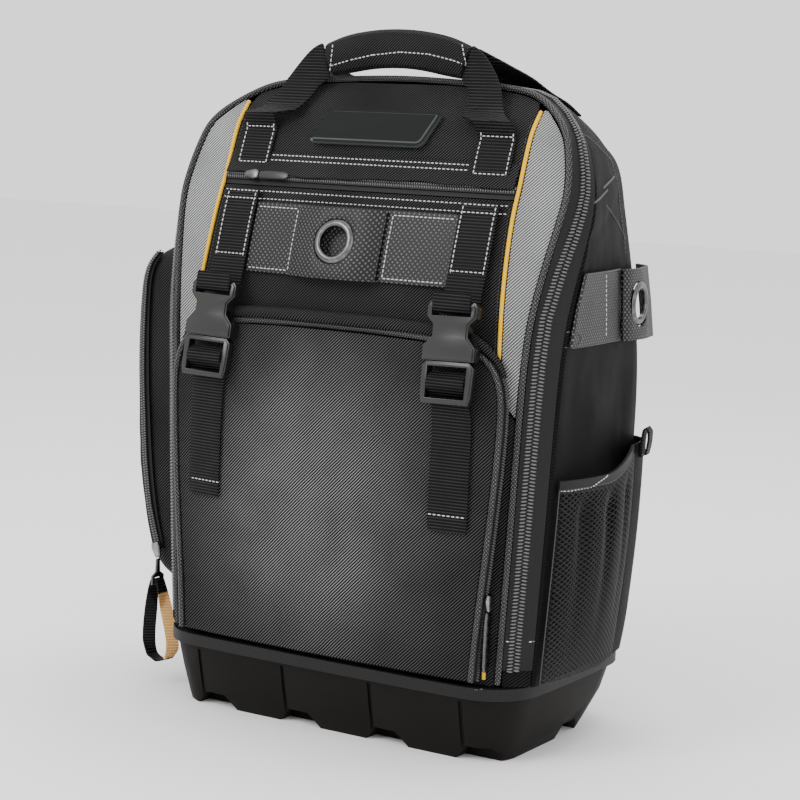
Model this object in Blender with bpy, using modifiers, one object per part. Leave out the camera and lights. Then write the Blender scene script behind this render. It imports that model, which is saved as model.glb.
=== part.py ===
# Tool backpack: a soft zipped pack that stands on a moulded base.
# Metres, +X to the right as seen from the front, +Y to the back, +Z up.
# The origin is on the floor, under the middle of the base.
import math
from collections import namedtuple

import bmesh
import bpy
from mathutils import Matrix, Vector

NAME = "tool_backpack"

# Clearances and cloth
GAP = 0.0003
SEAT = 0.0007
CLOTH = 0.0026
WEB = 0.0018
WEB_WIDTH = 0.032
TOOL_WEB = 0.0024

# Main body
RIM_Z = 0.062
PANEL_HEIGHT = 0.457
PANEL_HALF_WIDTH = 0.175
FRONT_REACH = 0.1125
CROWN = 0.007
REAR_HALF_WIDTH = 0.171
REAR_REACH = 0.062
REAR_CORNER = 0.030
SIDE_BULGE = 0.003
BODY_LIP = 0.003
WELT_RADIUS = 0.0026
PIPING_RADIUS = 0.0016
BAND_WIDTH = 0.024
BAND_THICK = 0.0014
COIL_HEIGHT = 0.0018
PAD_THICK = 0.012

# Base
BASE_HALF_WIDTH = 0.167
BASE_FRONT = 0.121
BASE_REAR = 0.093
BASE_CORNER = 0.044
BASE_TAPER = 0.0155
BASE_REAR_RISE = 0.030
BASE_WALL = 0.007
BASE_FLOOR = 0.0145
FOOT_PITCH = 0.082
NOTCH_HEIGHT = 0.0115
NOTCH_WIDTH = 0.042
NOTCH_DEPTH = 0.030
NOTCH_LEFT_SLOPE = 0.009
NOTCH_RIGHT_SLOPE = 0.013
NOTCH_SHIFT = 0.0085
SIDE_NOTCH_Y = 0.010
GROOVE_WIDTH = 0.003
GROOVE_DEPTH = 0.0025
HEM_HEIGHT = 0.010

# Front
PIPING_X = 0.135
PIPING_SPREAD = 0.006
ZIP_Z = 0.436
ZIP_HALF = 0.0072
SILVER_LOW_Z = 0.281
SILVER_DROP = 0.014
PIPING_LOW_Z = 0.314
BADGE_WIDTH = 0.104
BADGE_HEIGHT = 0.031
BADGE_SLANT = 0.010
BADGE_THICK = 0.0030
BADGE_SEAT = 0.0005
BADGE_RIM = 0.0024
BADGE_DROP = 0.0415
BAND_Z = 0.389
BAND_HEIGHT = 0.055
LOOP_X = -0.008
LOOP_WIDTH = 0.080
LOOP_RISE = 0.007
EYELET_OUTER = 0.0175
EYELET_INNER = 0.0120
EYELET_THICK = 0.0042

# Straps and buckles
STRAP_X = 0.109
STRAP_TOP_Z = 0.426
BUCKLE_TOP_Z = 0.352
BUCKLE_LOW_Z = 0.277
BUCKLE_WIDTH = 0.044
BUCKLE_DEPTH = 0.012
BUCKLE_WALL = 0.0028
SOCKET_SHARE = 0.58
SOCKET_WAIST = 0.007
BAR_THICK = 0.004
TAIL_LOW_Z = 0.180
PLUG_DEPTH = 0.0085

# Front pocket
POCKET_HALF_WIDTH = 0.150
POCKET_TOP_Z = 0.325
POCKET_WELT_Y = 0.1255
POCKET_CROWN = 0.011
POCKET_WELT_RADIUS = 0.0024

# Side pocket
SIDE_TOP_Z = 0.376
SIDE_LOW_Z = 0.082
SIDE_FRONT_Y = -0.070
SIDE_REAR_Y = 0.056
SIDE_DEPTH = 0.061
SIDE_CORNER = 0.026
SIDE_LOOP_LENGTH = 0.070
SIDE_LOOP_WIDTH = 0.030
SIDE_LOOP_CLEAR = 0.0122
SIDE_LOOP_WEB = 0.011
SIDE_LOOP_TURN = 58.0
SIDE_RING_WIRE = 0.0018
SIDE_RING_ROOM = 0.0045
SIDE_TAPE = 0.10

# Net pocket
NET_FRONT_Y = -0.0885
NET_REAR_Y = 0.036
NET_TOP_Z = 0.222
NET_REAR_LIFT = 0.016
NET_BULGE = 0.016
NET_THICK = 0.0012
NET_COLUMNS = 18
NET_ROWS = 16

# Side tool webbing
SIDE_BAND_Z = 0.350
SIDE_BAND_HEIGHT = 0.056
SIDE_BAND_SEAM_Y = 0.008
HOOP_RISE = 0.008

# Handle
GRIP_LENGTH = 0.127
GRIP_Y = -0.047
GRIP_Z = 0.5415
GRIP_HEIGHT = 0.031
GRIP_THICK = 0.017
GRIP_SAG = 0.010
PATCH_LOW_Z = 0.4455
PATCH_TOP_Z = 0.476

# Zip pulls
PULL_WIDTH = 0.0064
PULL_THICK = 0.0022
UPPER_PULL_LENGTH = 0.027
POCKET_PULL_LENGTH = 0.044
SIDE_PULL_LENGTH = 0.020
SLIDER_LENGTH = 0.013
PULL_TOP_Z = 0.128
SLIDER_WIDTH = 0.0085
SLIDER_THICK = 0.0036
HINGE_GAP = 0.0006

# Shoulder straps
SHOULDER_X = 0.070
SHOULDER_WIDTH = 0.062
SHOULDER_THICK = 0.010
SHOULDER_ARCH = 0.030
SHOULDER_TOP_Z = 0.462
SHOULDER_LOW_Z = 0.215
LOWER_WEB_WIDTH = 0.025

Outline = namedtuple("Outline", "height width forward flare")

# Front edge of the pack, from the rim to the middle of the top.
# Shares of the panel height, its half width and the front reach; flare turns the zip outwards.
FRONT_OUTLINE = (
    Outline(0.000, 0.862, 0.983, 1.00),
    Outline(0.083, 0.872, 0.991, 1.00),
    Outline(0.280, 0.893, 0.998, 1.05),
    Outline(0.477, 0.910, 0.997, 1.08),
    Outline(0.620, 0.932, 0.972, 1.08),
    Outline(0.759, 0.987, 0.835, 0.85),
    Outline(0.820, 0.995, 0.735, 0.55),
    Outline(0.877, 0.967, 0.659, 0.30),
    Outline(0.923, 0.915, 0.583, 0.05),
    Outline(0.971, 0.749, 0.418, 0.00),
    Outline(0.990, 0.543, 0.380, -0.10),
    Outline(1.000, 0.000, 0.340, -0.15),
)

Rear = namedtuple("Rear", "height width")

# Rear edge of the pack at the same rows, as shares of the panel height and the rear half width.
REAR_OUTLINE = (
    Rear(0.000, 0.955),
    Rear(0.083, 0.965),
    Rear(0.280, 0.990),
    Rear(0.477, 1.000),
    Rear(0.620, 0.965),
    Rear(0.745, 0.906),
    Rear(0.800, 0.877),
    Rear(0.850, 0.851),
    Rear(0.890, 0.795),
    Rear(0.925, 0.660),
    Rear(0.948, 0.440),
    Rear(0.958, 0.000),
)

Pocket = namedtuple("Pocket", "height width reach")

# Edge of the front pocket, as shares of its height, its half width and its reach.
POCKET_OUTLINE = (
    Pocket(0.000, 0.905, 1.000),
    Pocket(0.180, 0.925, 1.000),
    Pocket(0.470, 0.970, 1.000),
    Pocket(0.740, 1.000, 0.998),
    Pocket(0.870, 0.985, 0.992),
    Pocket(0.945, 0.900, 0.984),
    Pocket(0.985, 0.720, 0.979),
    Pocket(0.998, 0.360, 0.976),
    Pocket(1.000, 0.000, 0.975),
)

Side = namedtuple("Side", "height depth")

# How far the side pocket stands out, as a share of its depth, from its bottom to its top.
SIDE_PROFILE = (
    Side(0.00, 0.55),
    Side(0.09, 0.74),
    Side(0.19, 0.88),
    Side(0.33, 0.97),
    Side(0.48, 1.00),
    Side(0.70, 0.985),
    Side(0.88, 0.90),
    Side(0.95, 0.80),
    Side(1.00, 0.60),
)

Section = namedtuple("Section", "out inset")

# The side pocket's section from the pack outwards: share of its depth, and how far its edge is set in.
SIDE_SECTION = (
    Section(0.00, 0.000),
    Section(0.62, 0.000),
    Section(0.84, 0.003),
    Section(0.97, 0.012),
    Section(1.00, 0.030),
    Section(1.01, 0.048),
)

Track = namedtuple("Track", "place out")

# The side pocket's zip from its top to its slider: place counted along the edge, share of the depth.
SIDE_TRACK = (
    Track(7.0, 0.72),
    Track(8.0, 0.72),
    Track(9.0, 0.72),
    Track(10.0, 0.71),
    Track(11.0, 0.70),
    Track(12.0, 0.67),
    Track(13.0, 0.65),
    Track(14.0, 0.62),
    Track(14.6, 0.57),
    Track(15.0, 0.53),
)

Loop = namedtuple("Loop", "across rise")

# The webbing loop on the side pull, once round: shares of its width and of its length.
SIDE_LOOP = (
    Loop(0.00, 1.000),
    Loop(-0.09, 0.988),
    Loop(-0.13, 0.940),
    Loop(-0.16, 0.850),
    Loop(-0.20, 0.650),
    Loop(-0.26, 0.400),
    Loop(-0.27, 0.220),
    Loop(-0.16, 0.060),
    Loop(0.12, 0.000),
    Loop(0.44, 0.040),
    Loop(0.60, 0.170),
    Loop(0.54, 0.360),
    Loop(0.35, 0.620),
    Loop(0.20, 0.850),
    Loop(0.13, 0.940),
    Loop(0.09, 0.988),
)

Leg = namedtuple("Leg", "out back rise wide_x wide_y wide_z")

# The handle's legs from the grip's ends: place in widths of the webbing, then which way its width runs.
FRONT_LEG = (
    Leg(0.30, -0.16, -0.18, 0.30, 0.05, 0.95),
    Leg(0.64, -0.30, -0.72, 0.83, 0.20, 0.50),
    Leg(0.84, -0.76, -1.24, 0.95, 0.22, 0.05),
)
REAR_LEG = (
    Leg(0.27, 0.44, -0.10, 0.90, 0.00, 0.32),
    Leg(0.47, 1.31, -0.28, 0.97, 0.00, 0.15),
    Leg(0.67, 2.09, -0.55, 0.98, 0.00, -0.05),
    Leg(0.89, 2.81, -0.78, 0.97, 0.00, -0.15),
    Leg(1.01, 3.28, -1.00, 0.95, 0.00, -0.26),
)

Fold = namedtuple("Fold", "place depth spread")

# Gathers of the net under its binding: place and spread as shares of its run, depth of its bulge.
NET_FOLDS = (
    Fold(0.24, 0.45, 0.06),
    Fold(0.55, 0.45, 0.06),
    Fold(0.84, 0.30, 0.05),
)

ROWS = len(FRONT_OUTLINE) - 1
STEPS = 2
MIDDLE = Vector((0.0, -0.01, 0.25))
TOP_Z = RIM_Z + PANEL_HEIGHT
BACK_Y = REAR_REACH + REAR_CORNER
POCKET_LOW_Z = RIM_Z + HEM_HEIGHT / 2


# Collections and materials


def clear_scene():
    for piece in list(bpy.data.objects):
        bpy.data.objects.remove(piece, do_unlink=True)


def collection(name):
    made = bpy.data.collections.new(name)
    bpy.context.scene.collection.children.link(made)
    return made


def material(name, colour, roughness, metallic=0.0):
    made = bpy.data.materials.new(name)
    made.use_nodes = True
    shader = made.node_tree.nodes["Principled BSDF"]
    shader.inputs["Base Color"].default_value = (*colour, 1.0)
    shader.inputs["Roughness"].default_value = roughness
    shader.inputs["Metallic"].default_value = metallic
    return made


# Reading the tables


def catmull(a, b, c, d, part):
    first = 2 * b
    second = (c - a) * part
    third = (2 * a - 5 * b + 4 * c - d) * part * part
    fourth = (3 * b - a - 3 * c + d) * part ** 3
    return 0.5 * (first + second + third + fourth)


def smooth(table, place):
    """Every column of a table at a place counted in rows, along a smooth curve."""
    row = min(int(place), len(table) - 2)
    rows = [table[max(row - 1, 0)], table[row], table[row + 1], table[min(row + 2, len(table) - 1)]]
    return [catmull(*column, place - row) for column in zip(*rows)]


def place_at(table, height):
    """The place in a table where its first column has a value."""
    low = 0.0
    high = len(table) - 1.0
    for _ in range(24):
        middle = (low + high) / 2
        if smooth(table, middle)[0] < height:
            low = middle
        else:
            high = middle
    return low


def outline_path(rows=ROWS, steps=STEPS):
    """Places along an outline, as place and side, up the left side and down the right one."""
    places = [index / steps for index in range(rows * steps + 1)]
    left = [(place, -1) for place in places]
    right = [(place, 1) for place in reversed(places[:-1])]
    return left + right


def outward(points, index):
    """The direction out of a closed front, seen from the front, at one point of its outline."""
    before = points[max(index - 1, 0)]
    after = points[min(index + 1, len(points) - 1)]
    run = after - before
    return Vector((-run.z, 0.0, run.x)).normalized()


# The surfaces that the pieces follow


def front_edge(place, side):
    height, width, forward, _ = smooth(FRONT_OUTLINE, place)
    return Vector((side * width * PANEL_HALF_WIDTH, -FRONT_REACH * forward, RIM_Z + height * PANEL_HEIGHT))


def front_half(z):
    """Half the width of the front and how far forward its edge is, at a height."""
    share = min(max((z - RIM_Z) / PANEL_HEIGHT, 0.0), 1.0)
    _, width, forward, _ = smooth(FRONT_OUTLINE, place_at(FRONT_OUTLINE, share))
    return width * PANEL_HALF_WIDTH, FRONT_REACH * forward


def front_y(x, z):
    """The outer face of the front cloth."""
    half, forward = front_half(z)
    across = min(abs(x) / max(half, 0.001), 1.0)
    fade = min(max((TOP_Z - z) / 0.050, 0.0), 1.0)
    return -forward - CROWN * (1 - across * across) * fade


def band_points():
    """Both edges of the zip band round the front: where it starts, where it ends, its normal."""
    path = outline_path()
    edge = [front_edge(place, side) for place, side in path]
    rows = []
    for index, (place, _) in enumerate(path):
        away = outward(edge, index)
        turn = smooth(FRONT_OUTLINE, place)[3] * math.sin(math.radians(45))
        run = away * turn + Vector((0, 1, 0)) * math.sqrt(1 - turn * turn)
        face = away * math.sqrt(1 - turn * turn) - Vector((0, 1, 0)) * turn
        start = edge[index] + run * (WELT_RADIUS + GAP)
        rows.append((start, start + run * BAND_WIDTH, face))
    return rows


def rear_edge(place, side):
    height, width = smooth(REAR_OUTLINE, place)
    return Vector((side * width * REAR_HALF_WIDTH, REAR_REACH, RIM_Z + height * PANEL_HEIGHT))


def body_rows():
    """The outer face of the body, a row for each point of the outline, from the zip to the rear wall."""
    path = outline_path()
    band = band_points()
    rear = [rear_edge(place, side) for place, side in path]
    rows = []
    for index in range(len(path)):
        start = band[index][1] + (band[index][1] - band[index][0]).normalized() * GAP
        away = outward(rear, index)
        row = [start]
        lip = start + (band[index][1] - band[index][0]).normalized() * BODY_LIP
        for step in range(5):
            part = step / 4
            swell = away * SIDE_BULGE * 4 * part * (1 - part)
            row.append(lip.lerp(rear[index], part) + swell)
        for turn in (35, 90):
            angle = math.radians(turn)
            inward = away * REAR_CORNER * (math.cos(angle) - 1)
            row.append(rear[index] + inward + Vector((0, REAR_CORNER * math.sin(angle), 0)))
        rows.append(row)
    for row in (rows[0], rows[-1]):
        for point in row:
            point.z = RIM_Z + GAP
    return rows


def wall_start(z):
    """Where the body's side wall starts behind the zip band: half its width, and its depth."""
    _, width, forward, flare = smooth(FRONT_OUTLINE, place_at(FRONT_OUTLINE, (z - RIM_Z) / PANEL_HEIGHT))
    turn = flare * math.sin(math.radians(45))
    along = WELT_RADIUS + BAND_WIDTH + 2 * GAP + BODY_LIP
    return width * PANEL_HALF_WIDTH + along * turn, -FRONT_REACH * forward + along * math.sqrt(1 - turn * turn)


def side_x(y, z):
    """Half the width of the body's side wall at a depth and a height."""
    share = (z - RIM_Z) / PANEL_HEIGHT
    start_x, start_y = wall_start(z)
    rear_x = smooth(REAR_OUTLINE, place_at(REAR_OUTLINE, share))[1] * REAR_HALF_WIDTH
    if y > REAR_REACH:
        into = min((y - REAR_REACH) / REAR_CORNER, 1.0)
        return rear_x + REAR_CORNER * (math.sqrt(1 - into * into) - 1)
    part = min(max((y - start_y) / (REAR_REACH - start_y), 0.0), 1.0)
    return start_x + (rear_x - start_x) * part + SIDE_BULGE * 4 * part * (1 - part)


def pocket_edge(place, side):
    height, width, reach = smooth(POCKET_OUTLINE, place)
    z = POCKET_LOW_Z + height * (POCKET_TOP_Z - POCKET_LOW_Z)
    return Vector((side * width * POCKET_HALF_WIDTH, -POCKET_WELT_Y * reach, z))


def pocket_y(x, z):
    """The outer face of the front pocket."""
    share = min(max((z - POCKET_LOW_Z) / (POCKET_TOP_Z - POCKET_LOW_Z), 0.0), 1.0)
    _, width, reach = smooth(POCKET_OUTLINE, place_at(POCKET_OUTLINE, share))
    across = min(abs(x) / (width * POCKET_HALF_WIDTH + 0.001), 1.0)
    rise = (1 - across ** 2.6) * math.sin(math.pi * (0.10 + 0.84 * share)) ** 0.6
    return -POCKET_WELT_Y * reach - POCKET_CROWN * rise


# Making pieces


def keep(name, mesh, group, finish, smooth_angle=40.0):
    """Puts a mesh in the collection as one named piece with its own material."""
    piece = bpy.data.objects.new(name, mesh)
    group.objects.link(piece)
    mesh.materials.append(finish)
    mesh.shade_smooth()
    mesh.set_sharp_from_angle(angle=math.radians(smooth_angle))
    return piece


def sheet(name, rows, wall, group, finish, away_from=MIDDLE, offset=-1.0, cap=False, holes=None):
    """Cloth: an open grid of points whose outer side looks away from a point, given a wall."""
    mesh = bpy.data.meshes.new(name)
    shape = bmesh.new()
    grid = [[shape.verts.new(point) for point in row] for row in rows]
    for row in range(len(grid) - 1):
        for column in range(len(grid[row]) - 1):
            if holes and holes(row, column):
                continue
            ring = [grid[row][column], grid[row + 1][column]]
            ring += [grid[row + 1][column + 1], grid[row][column + 1]]
            shape.faces.new(ring)
    if cap:
        closed = (grid[0][-1].co - grid[-1][-1].co).length < 1e-6
        shape.faces.new([row[-1] for row in (grid[:-1] if closed else grid)])
    bmesh.ops.remove_doubles(shape, verts=shape.verts, dist=0.00002)
    bmesh.ops.delete(shape, geom=[vert for vert in shape.verts if not vert.link_faces], context="VERTS")
    shape.normal_update()
    bmesh.ops.recalc_face_normals(shape, faces=shape.faces)
    shape.normal_update()
    facing = sum(face.normal.dot(face.calc_center_median() - away_from) * face.calc_area()
                 for face in shape.faces)
    if facing < 0:
        bmesh.ops.reverse_faces(shape, faces=shape.faces)
    shape.to_mesh(mesh)
    shape.free()
    piece = keep(name, mesh, group, finish)
    solid = piece.modifiers.new("wall", "SOLIDIFY")
    solid.thickness = wall
    solid.offset = offset
    solid.use_quality_normals = True
    return piece


def web(name, stations, group, finish, wall=WEB, away_from=MIDDLE):
    """Webbing along a path: each station is a point and the vector to one edge."""
    rows = [[point - half, point + half] for point, half in stations]
    return sheet(name, rows, wall, group, finish, away_from=away_from, offset=0.0)


def loft(name, sections, group, finish, smooth_angle=40.0, ring=False):
    """A closed solid through sections that have the same number of points."""
    mesh = bpy.data.meshes.new(name)
    shape = bmesh.new()
    grid = [[shape.verts.new(point) for point in section] for section in sections]
    count = len(sections[0])
    last = len(grid) if ring else len(grid) - 1
    for row in range(last):
        after = grid[(row + 1) % len(grid)]
        for column in range(count):
            along = (column + 1) % count
            shape.faces.new([grid[row][column], after[column], after[along], grid[row][along]])
    if not ring:
        shape.faces.new(grid[0])
        shape.faces.new(list(reversed(grid[-1])))
    bmesh.ops.recalc_face_normals(shape, faces=shape.faces)
    shape.to_mesh(mesh)
    shape.free()
    return keep(name, mesh, group, finish, smooth_angle)


def cord(name, points, radius, group, finish, sides=1):
    """Piping or a cord: a bevelled curve along points."""
    curve = bpy.data.curves.new(name, "CURVE")
    curve.dimensions = "3D"
    curve.bevel_depth = radius
    curve.bevel_resolution = sides
    curve.use_fill_caps = True
    curve.resolution_u = 1
    curve.render_resolution_u = 0
    run = curve.splines.new("POLY")
    run.points.add(len(points) - 1)
    for spot, point in zip(run.points, points):
        spot.co = (*point, 1.0)
    piece = bpy.data.objects.new(name, curve)
    group.objects.link(piece)
    curve.materials.append(finish)
    return piece


def box_mesh(name, size, place, bevel=0.0):
    """A box primitive of a size at a place, with its edges rounded."""
    mesh = bpy.data.meshes.new(name)
    shape = bmesh.new()
    bmesh.ops.create_cube(shape, size=1.0)
    bmesh.ops.scale(shape, vec=Vector(size), verts=shape.verts)
    bmesh.ops.translate(shape, vec=Vector(place), verts=shape.verts)
    if bevel:
        bmesh.ops.bevel(shape, geom=shape.edges, offset=bevel, segments=1, affect="EDGES")
    shape.to_mesh(mesh)
    shape.free()
    return mesh


def cutter(name, mesh, group, matrix=None):
    """A hidden tool that a Boolean cuts with."""
    piece = bpy.data.objects.new(name, mesh)
    group.objects.link(piece)
    piece.hide_render = True
    piece.display_type = "WIRE"
    if matrix is not None:
        piece.matrix_world = matrix
    return piece


def cut(piece, tools, operation="DIFFERENCE"):
    for tool in tools:
        change = piece.modifiers.new(tool.name, "BOOLEAN")
        change.operation = operation
        change.object = tool
        change.solver = "EXACT"


# Base


def plan_ring(grow, z, rear_rise=0.0, corner_steps=4):
    """The base's plan outline at a height, grown or shrunk, its rear moved forward."""
    half = BASE_HALF_WIDTH + grow
    front = -BASE_FRONT - grow
    rear = BASE_REAR + grow - rear_rise
    radius = BASE_CORNER + grow
    corners = ((half, rear, 0), (-half, rear, 90), (-half, front, 180), (half, front, 270))
    points = []
    for x, y, start in corners:
        middle_x = x - math.copysign(radius, x)
        middle_y = y - radius if start < 180 else y + radius
        for step in range(corner_steps + 1):
            angle = math.radians(start + 90 * step / corner_steps)
            points.append(Vector((middle_x + radius * math.cos(angle), middle_y + radius * math.sin(angle), z)))
    return points


def notch_mesh(name, matrix):
    """A tapered block that lifts the base's edge between two feet."""
    low = NOTCH_WIDTH / 2
    mesh = bpy.data.meshes.new(name)
    shape = bmesh.new()
    ends = []
    for depth in (-NOTCH_DEPTH, NOTCH_DEPTH):
        corners = ((-low - 0.001, -0.003), (low + 0.001, -0.003))
        corners += ((low - NOTCH_RIGHT_SLOPE, NOTCH_HEIGHT), (-low + NOTCH_LEFT_SLOPE, NOTCH_HEIGHT))
        ends.append([shape.verts.new(matrix @ Vector((x, depth, z))) for x, z in corners])
    shape.faces.new(ends[0])
    shape.faces.new(list(reversed(ends[1])))
    for index in range(4):
        after = (index + 1) % 4
        shape.faces.new([ends[0][index], ends[1][index], ends[1][after], ends[0][after]])
    bmesh.ops.recalc_face_normals(shape, faces=shape.faces)
    shape.to_mesh(mesh)
    shape.free()
    return mesh


def base_tray(group, tools, finish):
    steps = ((1.0, 0.0, 1.0), (0.86, 0.007, 0.80), (0.46, 0.030, 0.20), (0.0, RIM_Z, 0.0))
    rings = [plan_ring(-BASE_TAPER * taper, z, BASE_REAR_RISE * rise) for taper, z, rise in steps]
    piece = loft("base_tray", rings, group, finish, smooth_angle=35)
    hollow_low = plan_ring(-BASE_TAPER - BASE_WALL, BASE_FLOOR, BASE_REAR_RISE)
    hollow_top = plan_ring(-BASE_WALL, RIM_Z + 0.004, 0.0)
    hollow = loft("base_hollow", [hollow_low, hollow_top], tools, finish)
    hollow.hide_render = True
    hollow.display_type = "WIRE"
    cutters = [hollow]
    grooves = [FOOT_PITCH * (index - 1.5) for index in range(4)]
    for index, x in enumerate(grooves):
        place = Matrix.Translation((x + NOTCH_WIDTH / 2 - NOTCH_SHIFT, -BASE_FRONT, 0))
        cutters.append(cutter(f"front_notch_{index}", notch_mesh(f"front_notch_{index}", place), tools))
        size = (GROOVE_WIDTH, 2 * GROOVE_DEPTH, RIM_Z * 0.68)
        lean = math.atan2(BASE_TAPER * 0.86, RIM_Z - 0.007)
        spot = Matrix.Translation((x, -BASE_FRONT + BASE_TAPER * 0.48, RIM_Z * 0.45)) @ Matrix.Rotation(lean, 4, "X")
        groove = box_mesh(f"groove_{index}", size, (0, 0, 0))
        cutters.append(cutter(f"groove_{index}", groove, tools, spot))
    for side in (-1, 1):
        place = Matrix.Translation((side * BASE_HALF_WIDTH, SIDE_NOTCH_Y, 0)) @ Matrix.Rotation(math.pi / 2, 4, "Z")
        name = "side_notch_left" if side < 0 else "side_notch_right"
        cutters.append(cutter(name, notch_mesh(name, place), tools))
    cut(piece, cutters)
    return piece


def hem(group, finish):
    """The binding that covers the joint between cloth and base: a thin band round the base's rim."""
    rows = []
    for z in (RIM_Z - HEM_HEIGHT, RIM_Z - GAP):
        ring = plan_ring(0.0016 + WEB, z)
        rows.append(ring + [ring[0]])
    return sheet("hem", rows, WEB, group, finish)


# Body and front


def body(group, finish):
    return sheet("body_shell", body_rows(), CLOTH, group, finish, cap=True)


def main_zip(group, finish):
    """The long zip: a tape with a raised coil along its middle, swept round the front."""
    sections = []
    coil_from = 0.40
    coil_to = 0.90
    for start, end, face in band_points():
        def at(share, rise):
            return start.lerp(end, share) + face * rise
        lower = -BAND_THICK
        section = [at(0, lower), at(1, lower), at(1, 0), at(coil_to, 0)]
        section += [at(coil_to - 0.08, COIL_HEIGHT), at(coil_from + 0.08, COIL_HEIGHT)]
        section += [at(coil_from, 0), at(0, 0)]
        sections.append(section)
    for section in (sections[0], sections[-1]):
        for point in section:
            point.z = RIM_Z + 0.014
    return loft("main_zip", sections, group, finish)


def zip_tab(name, side, group, finish):
    """The stitched end tab and patch between the foot of the long zip and the hem."""
    band = band_points()
    start, end, _ = band[0] if side < 0 else band[-1]
    rows = []
    for z in (RIM_Z + 0.014 - GAP, RIM_Z + GAP):
        edges = [start + (end - start) * share for share in (0.03, 1.0)]
        rows.append([Vector((edge.x, edge.y, z)) for edge in edges])
    return sheet(name, rows, BAND_THICK, group, finish)


def edge_welt(group, finish):
    points = [front_edge(place, side) for place, side in outline_path()]
    points[0].z = RIM_Z + GAP + WELT_RADIUS
    points[-1].z = RIM_Z + GAP + WELT_RADIUS
    return cord("edge_welt", points, WELT_RADIUS, group, finish)


def inset_half(z):
    """Half the width of the cloth inside the welt: the edge less the welt, square to its slope."""
    step = 0.002
    slope = (front_half(z + step)[0] - front_half(z - step)[0]) / (2 * step)
    return front_half(z)[0] - (WELT_RADIUS + SEAT) * math.sqrt(1 + slope * slope)


def inner_run(points, inset):
    """The right half of an outline moved inwards, as heights and half widths, from the bottom up."""
    moved = [point - outward(points, index) * inset for index, point in enumerate(points)]
    return [(point.z, point.x) for point in reversed(moved[len(points) // 2:])]


def levels(low, high, step):
    """Heights from low to high in even steps."""
    count = max(int(round((high - low) / step)), 1)
    return [low + (high - low) * index / count for index in range(count + 1)]


def edge_levels(low, high, margin=0.003):
    """The heights of the edge's own points between two heights, so that neighbours bend together."""
    own = [front_edge(index / STEPS, 1).z for index in range(ROWS * STEPS + 1)]
    return [low] + [z for z in own if low + margin < z < high - margin] + [high]


def front_rows(levels, reach, columns):
    """Rows of points on the front face, each from minus reach to plus reach."""
    rows = []
    for z in levels:
        half = reach(z)
        xs = [half * (2 * column / columns - 1) for column in range(columns + 1)]
        rows.append([Vector((x, front_y(x, z), z)) for x in xs])
    return rows


def front_panel(group, finish):
    """Black cloth of the front: as wide as the edge low down, between the pipings higher up."""
    step_z = SILVER_LOW_Z - SILVER_DROP

    def reach(z):
        return inset_half(z) if z <= step_z + 1e-6 else piping_x(z) - PIPING_RADIUS - GAP

    low = edge_levels(RIM_Z + GAP, step_z)
    high = edge_levels(SILVER_LOW_Z, ZIP_Z - ZIP_HALF - GAP)
    return sheet("front_panel", front_rows(low + high, reach, 10), CLOTH, group, finish)


def top_limit():
    """The height where the front's edge meets the piping."""
    low = RIM_Z + 0.8 * PANEL_HEIGHT
    high = TOP_Z
    for _ in range(24):
        middle = (low + high) / 2
        if inset_half(middle) > PIPING_X:
            low = middle
        else:
            high = middle
    return low


def upper_panel(group, finish):
    inner = PIPING_X - PIPING_RADIUS - GAP
    foot = ZIP_Z + ZIP_HALF + GAP
    edge = [front_edge(place, side) for place, side in outline_path()]
    widths = {foot: inner}
    for z, half in inner_run(edge, WELT_RADIUS + SEAT):
        if z > foot + 0.003 and half > 0.020:
            widths[z] = min(half, inner)
    rows = front_rows(list(widths), lambda z: widths[z], 10)
    return sheet("upper_panel", rows, CLOTH, group, finish)


def side_panel(name, side, group, finish):
    """Silver cloth between a piping and the edge, from its slanted foot to its point at the top."""
    foot = SILVER_LOW_Z + GAP
    rows = []
    for z in edge_levels(foot, top_limit() - 0.003):
        drop = SILVER_DROP - 3 * GAP if z == foot else 0.0
        inner = piping_x(z) + PIPING_RADIUS + GAP
        outer = inset_half(z - drop)
        row = []
        for share in (0.0, 0.33, 0.67, 1.0):
            x = inner + (outer - inner) * share
            row.append(Vector((side * x, front_y(x, z - drop * share), z - drop * share)))
        rows.append(row)
    return sheet(name, rows, CLOTH, group, finish)


def piping_x(z):
    """How far out the yellow piping runs: it spreads a little below the short zip."""
    share = min(max((ZIP_Z - z) / (ZIP_Z - SILVER_LOW_Z), 0.0), 1.0)
    return PIPING_X + PIPING_SPREAD * share * share * (3 - 2 * share)


def piping(name, side, group, finish):
    heights = edge_levels(PIPING_LOW_Z, top_limit() - 0.004)
    points = []
    for z in heights:
        x = piping_x(z)
        points.append(Vector((side * x, front_y(x, z) - PIPING_RADIUS * 0.2, z)))
    return cord(name, points, PIPING_RADIUS, group, finish)


def piping_end(name, side, group, finish):
    """The short stretch of yellow that shows again beside the foot of the front pocket."""
    points = []
    for z in levels(RIM_Z + 0.006, RIM_Z + 0.024, 0.006):
        x = pocket_edge(0, side).x + side * (POCKET_WELT_RADIUS + PIPING_RADIUS + 0.001)
        points.append(Vector((x, front_y(x, z) - PIPING_RADIUS - SEAT, z)))
    return cord(name, points, PIPING_RADIUS, group, finish)


def front_strip(name, low, high, half, rise, wall, group, finish, columns=10, middle=0.0):
    """A flat strip that lies on the front face."""
    rows = []
    for z in levels(low, high, 0.019):
        xs = [middle + half * (2 * column / columns - 1) for column in range(columns + 1)]
        rows.append([Vector((x, front_y(x, z) - rise, z)) for x in xs])
    return sheet(name, rows, wall, group, finish)


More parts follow.
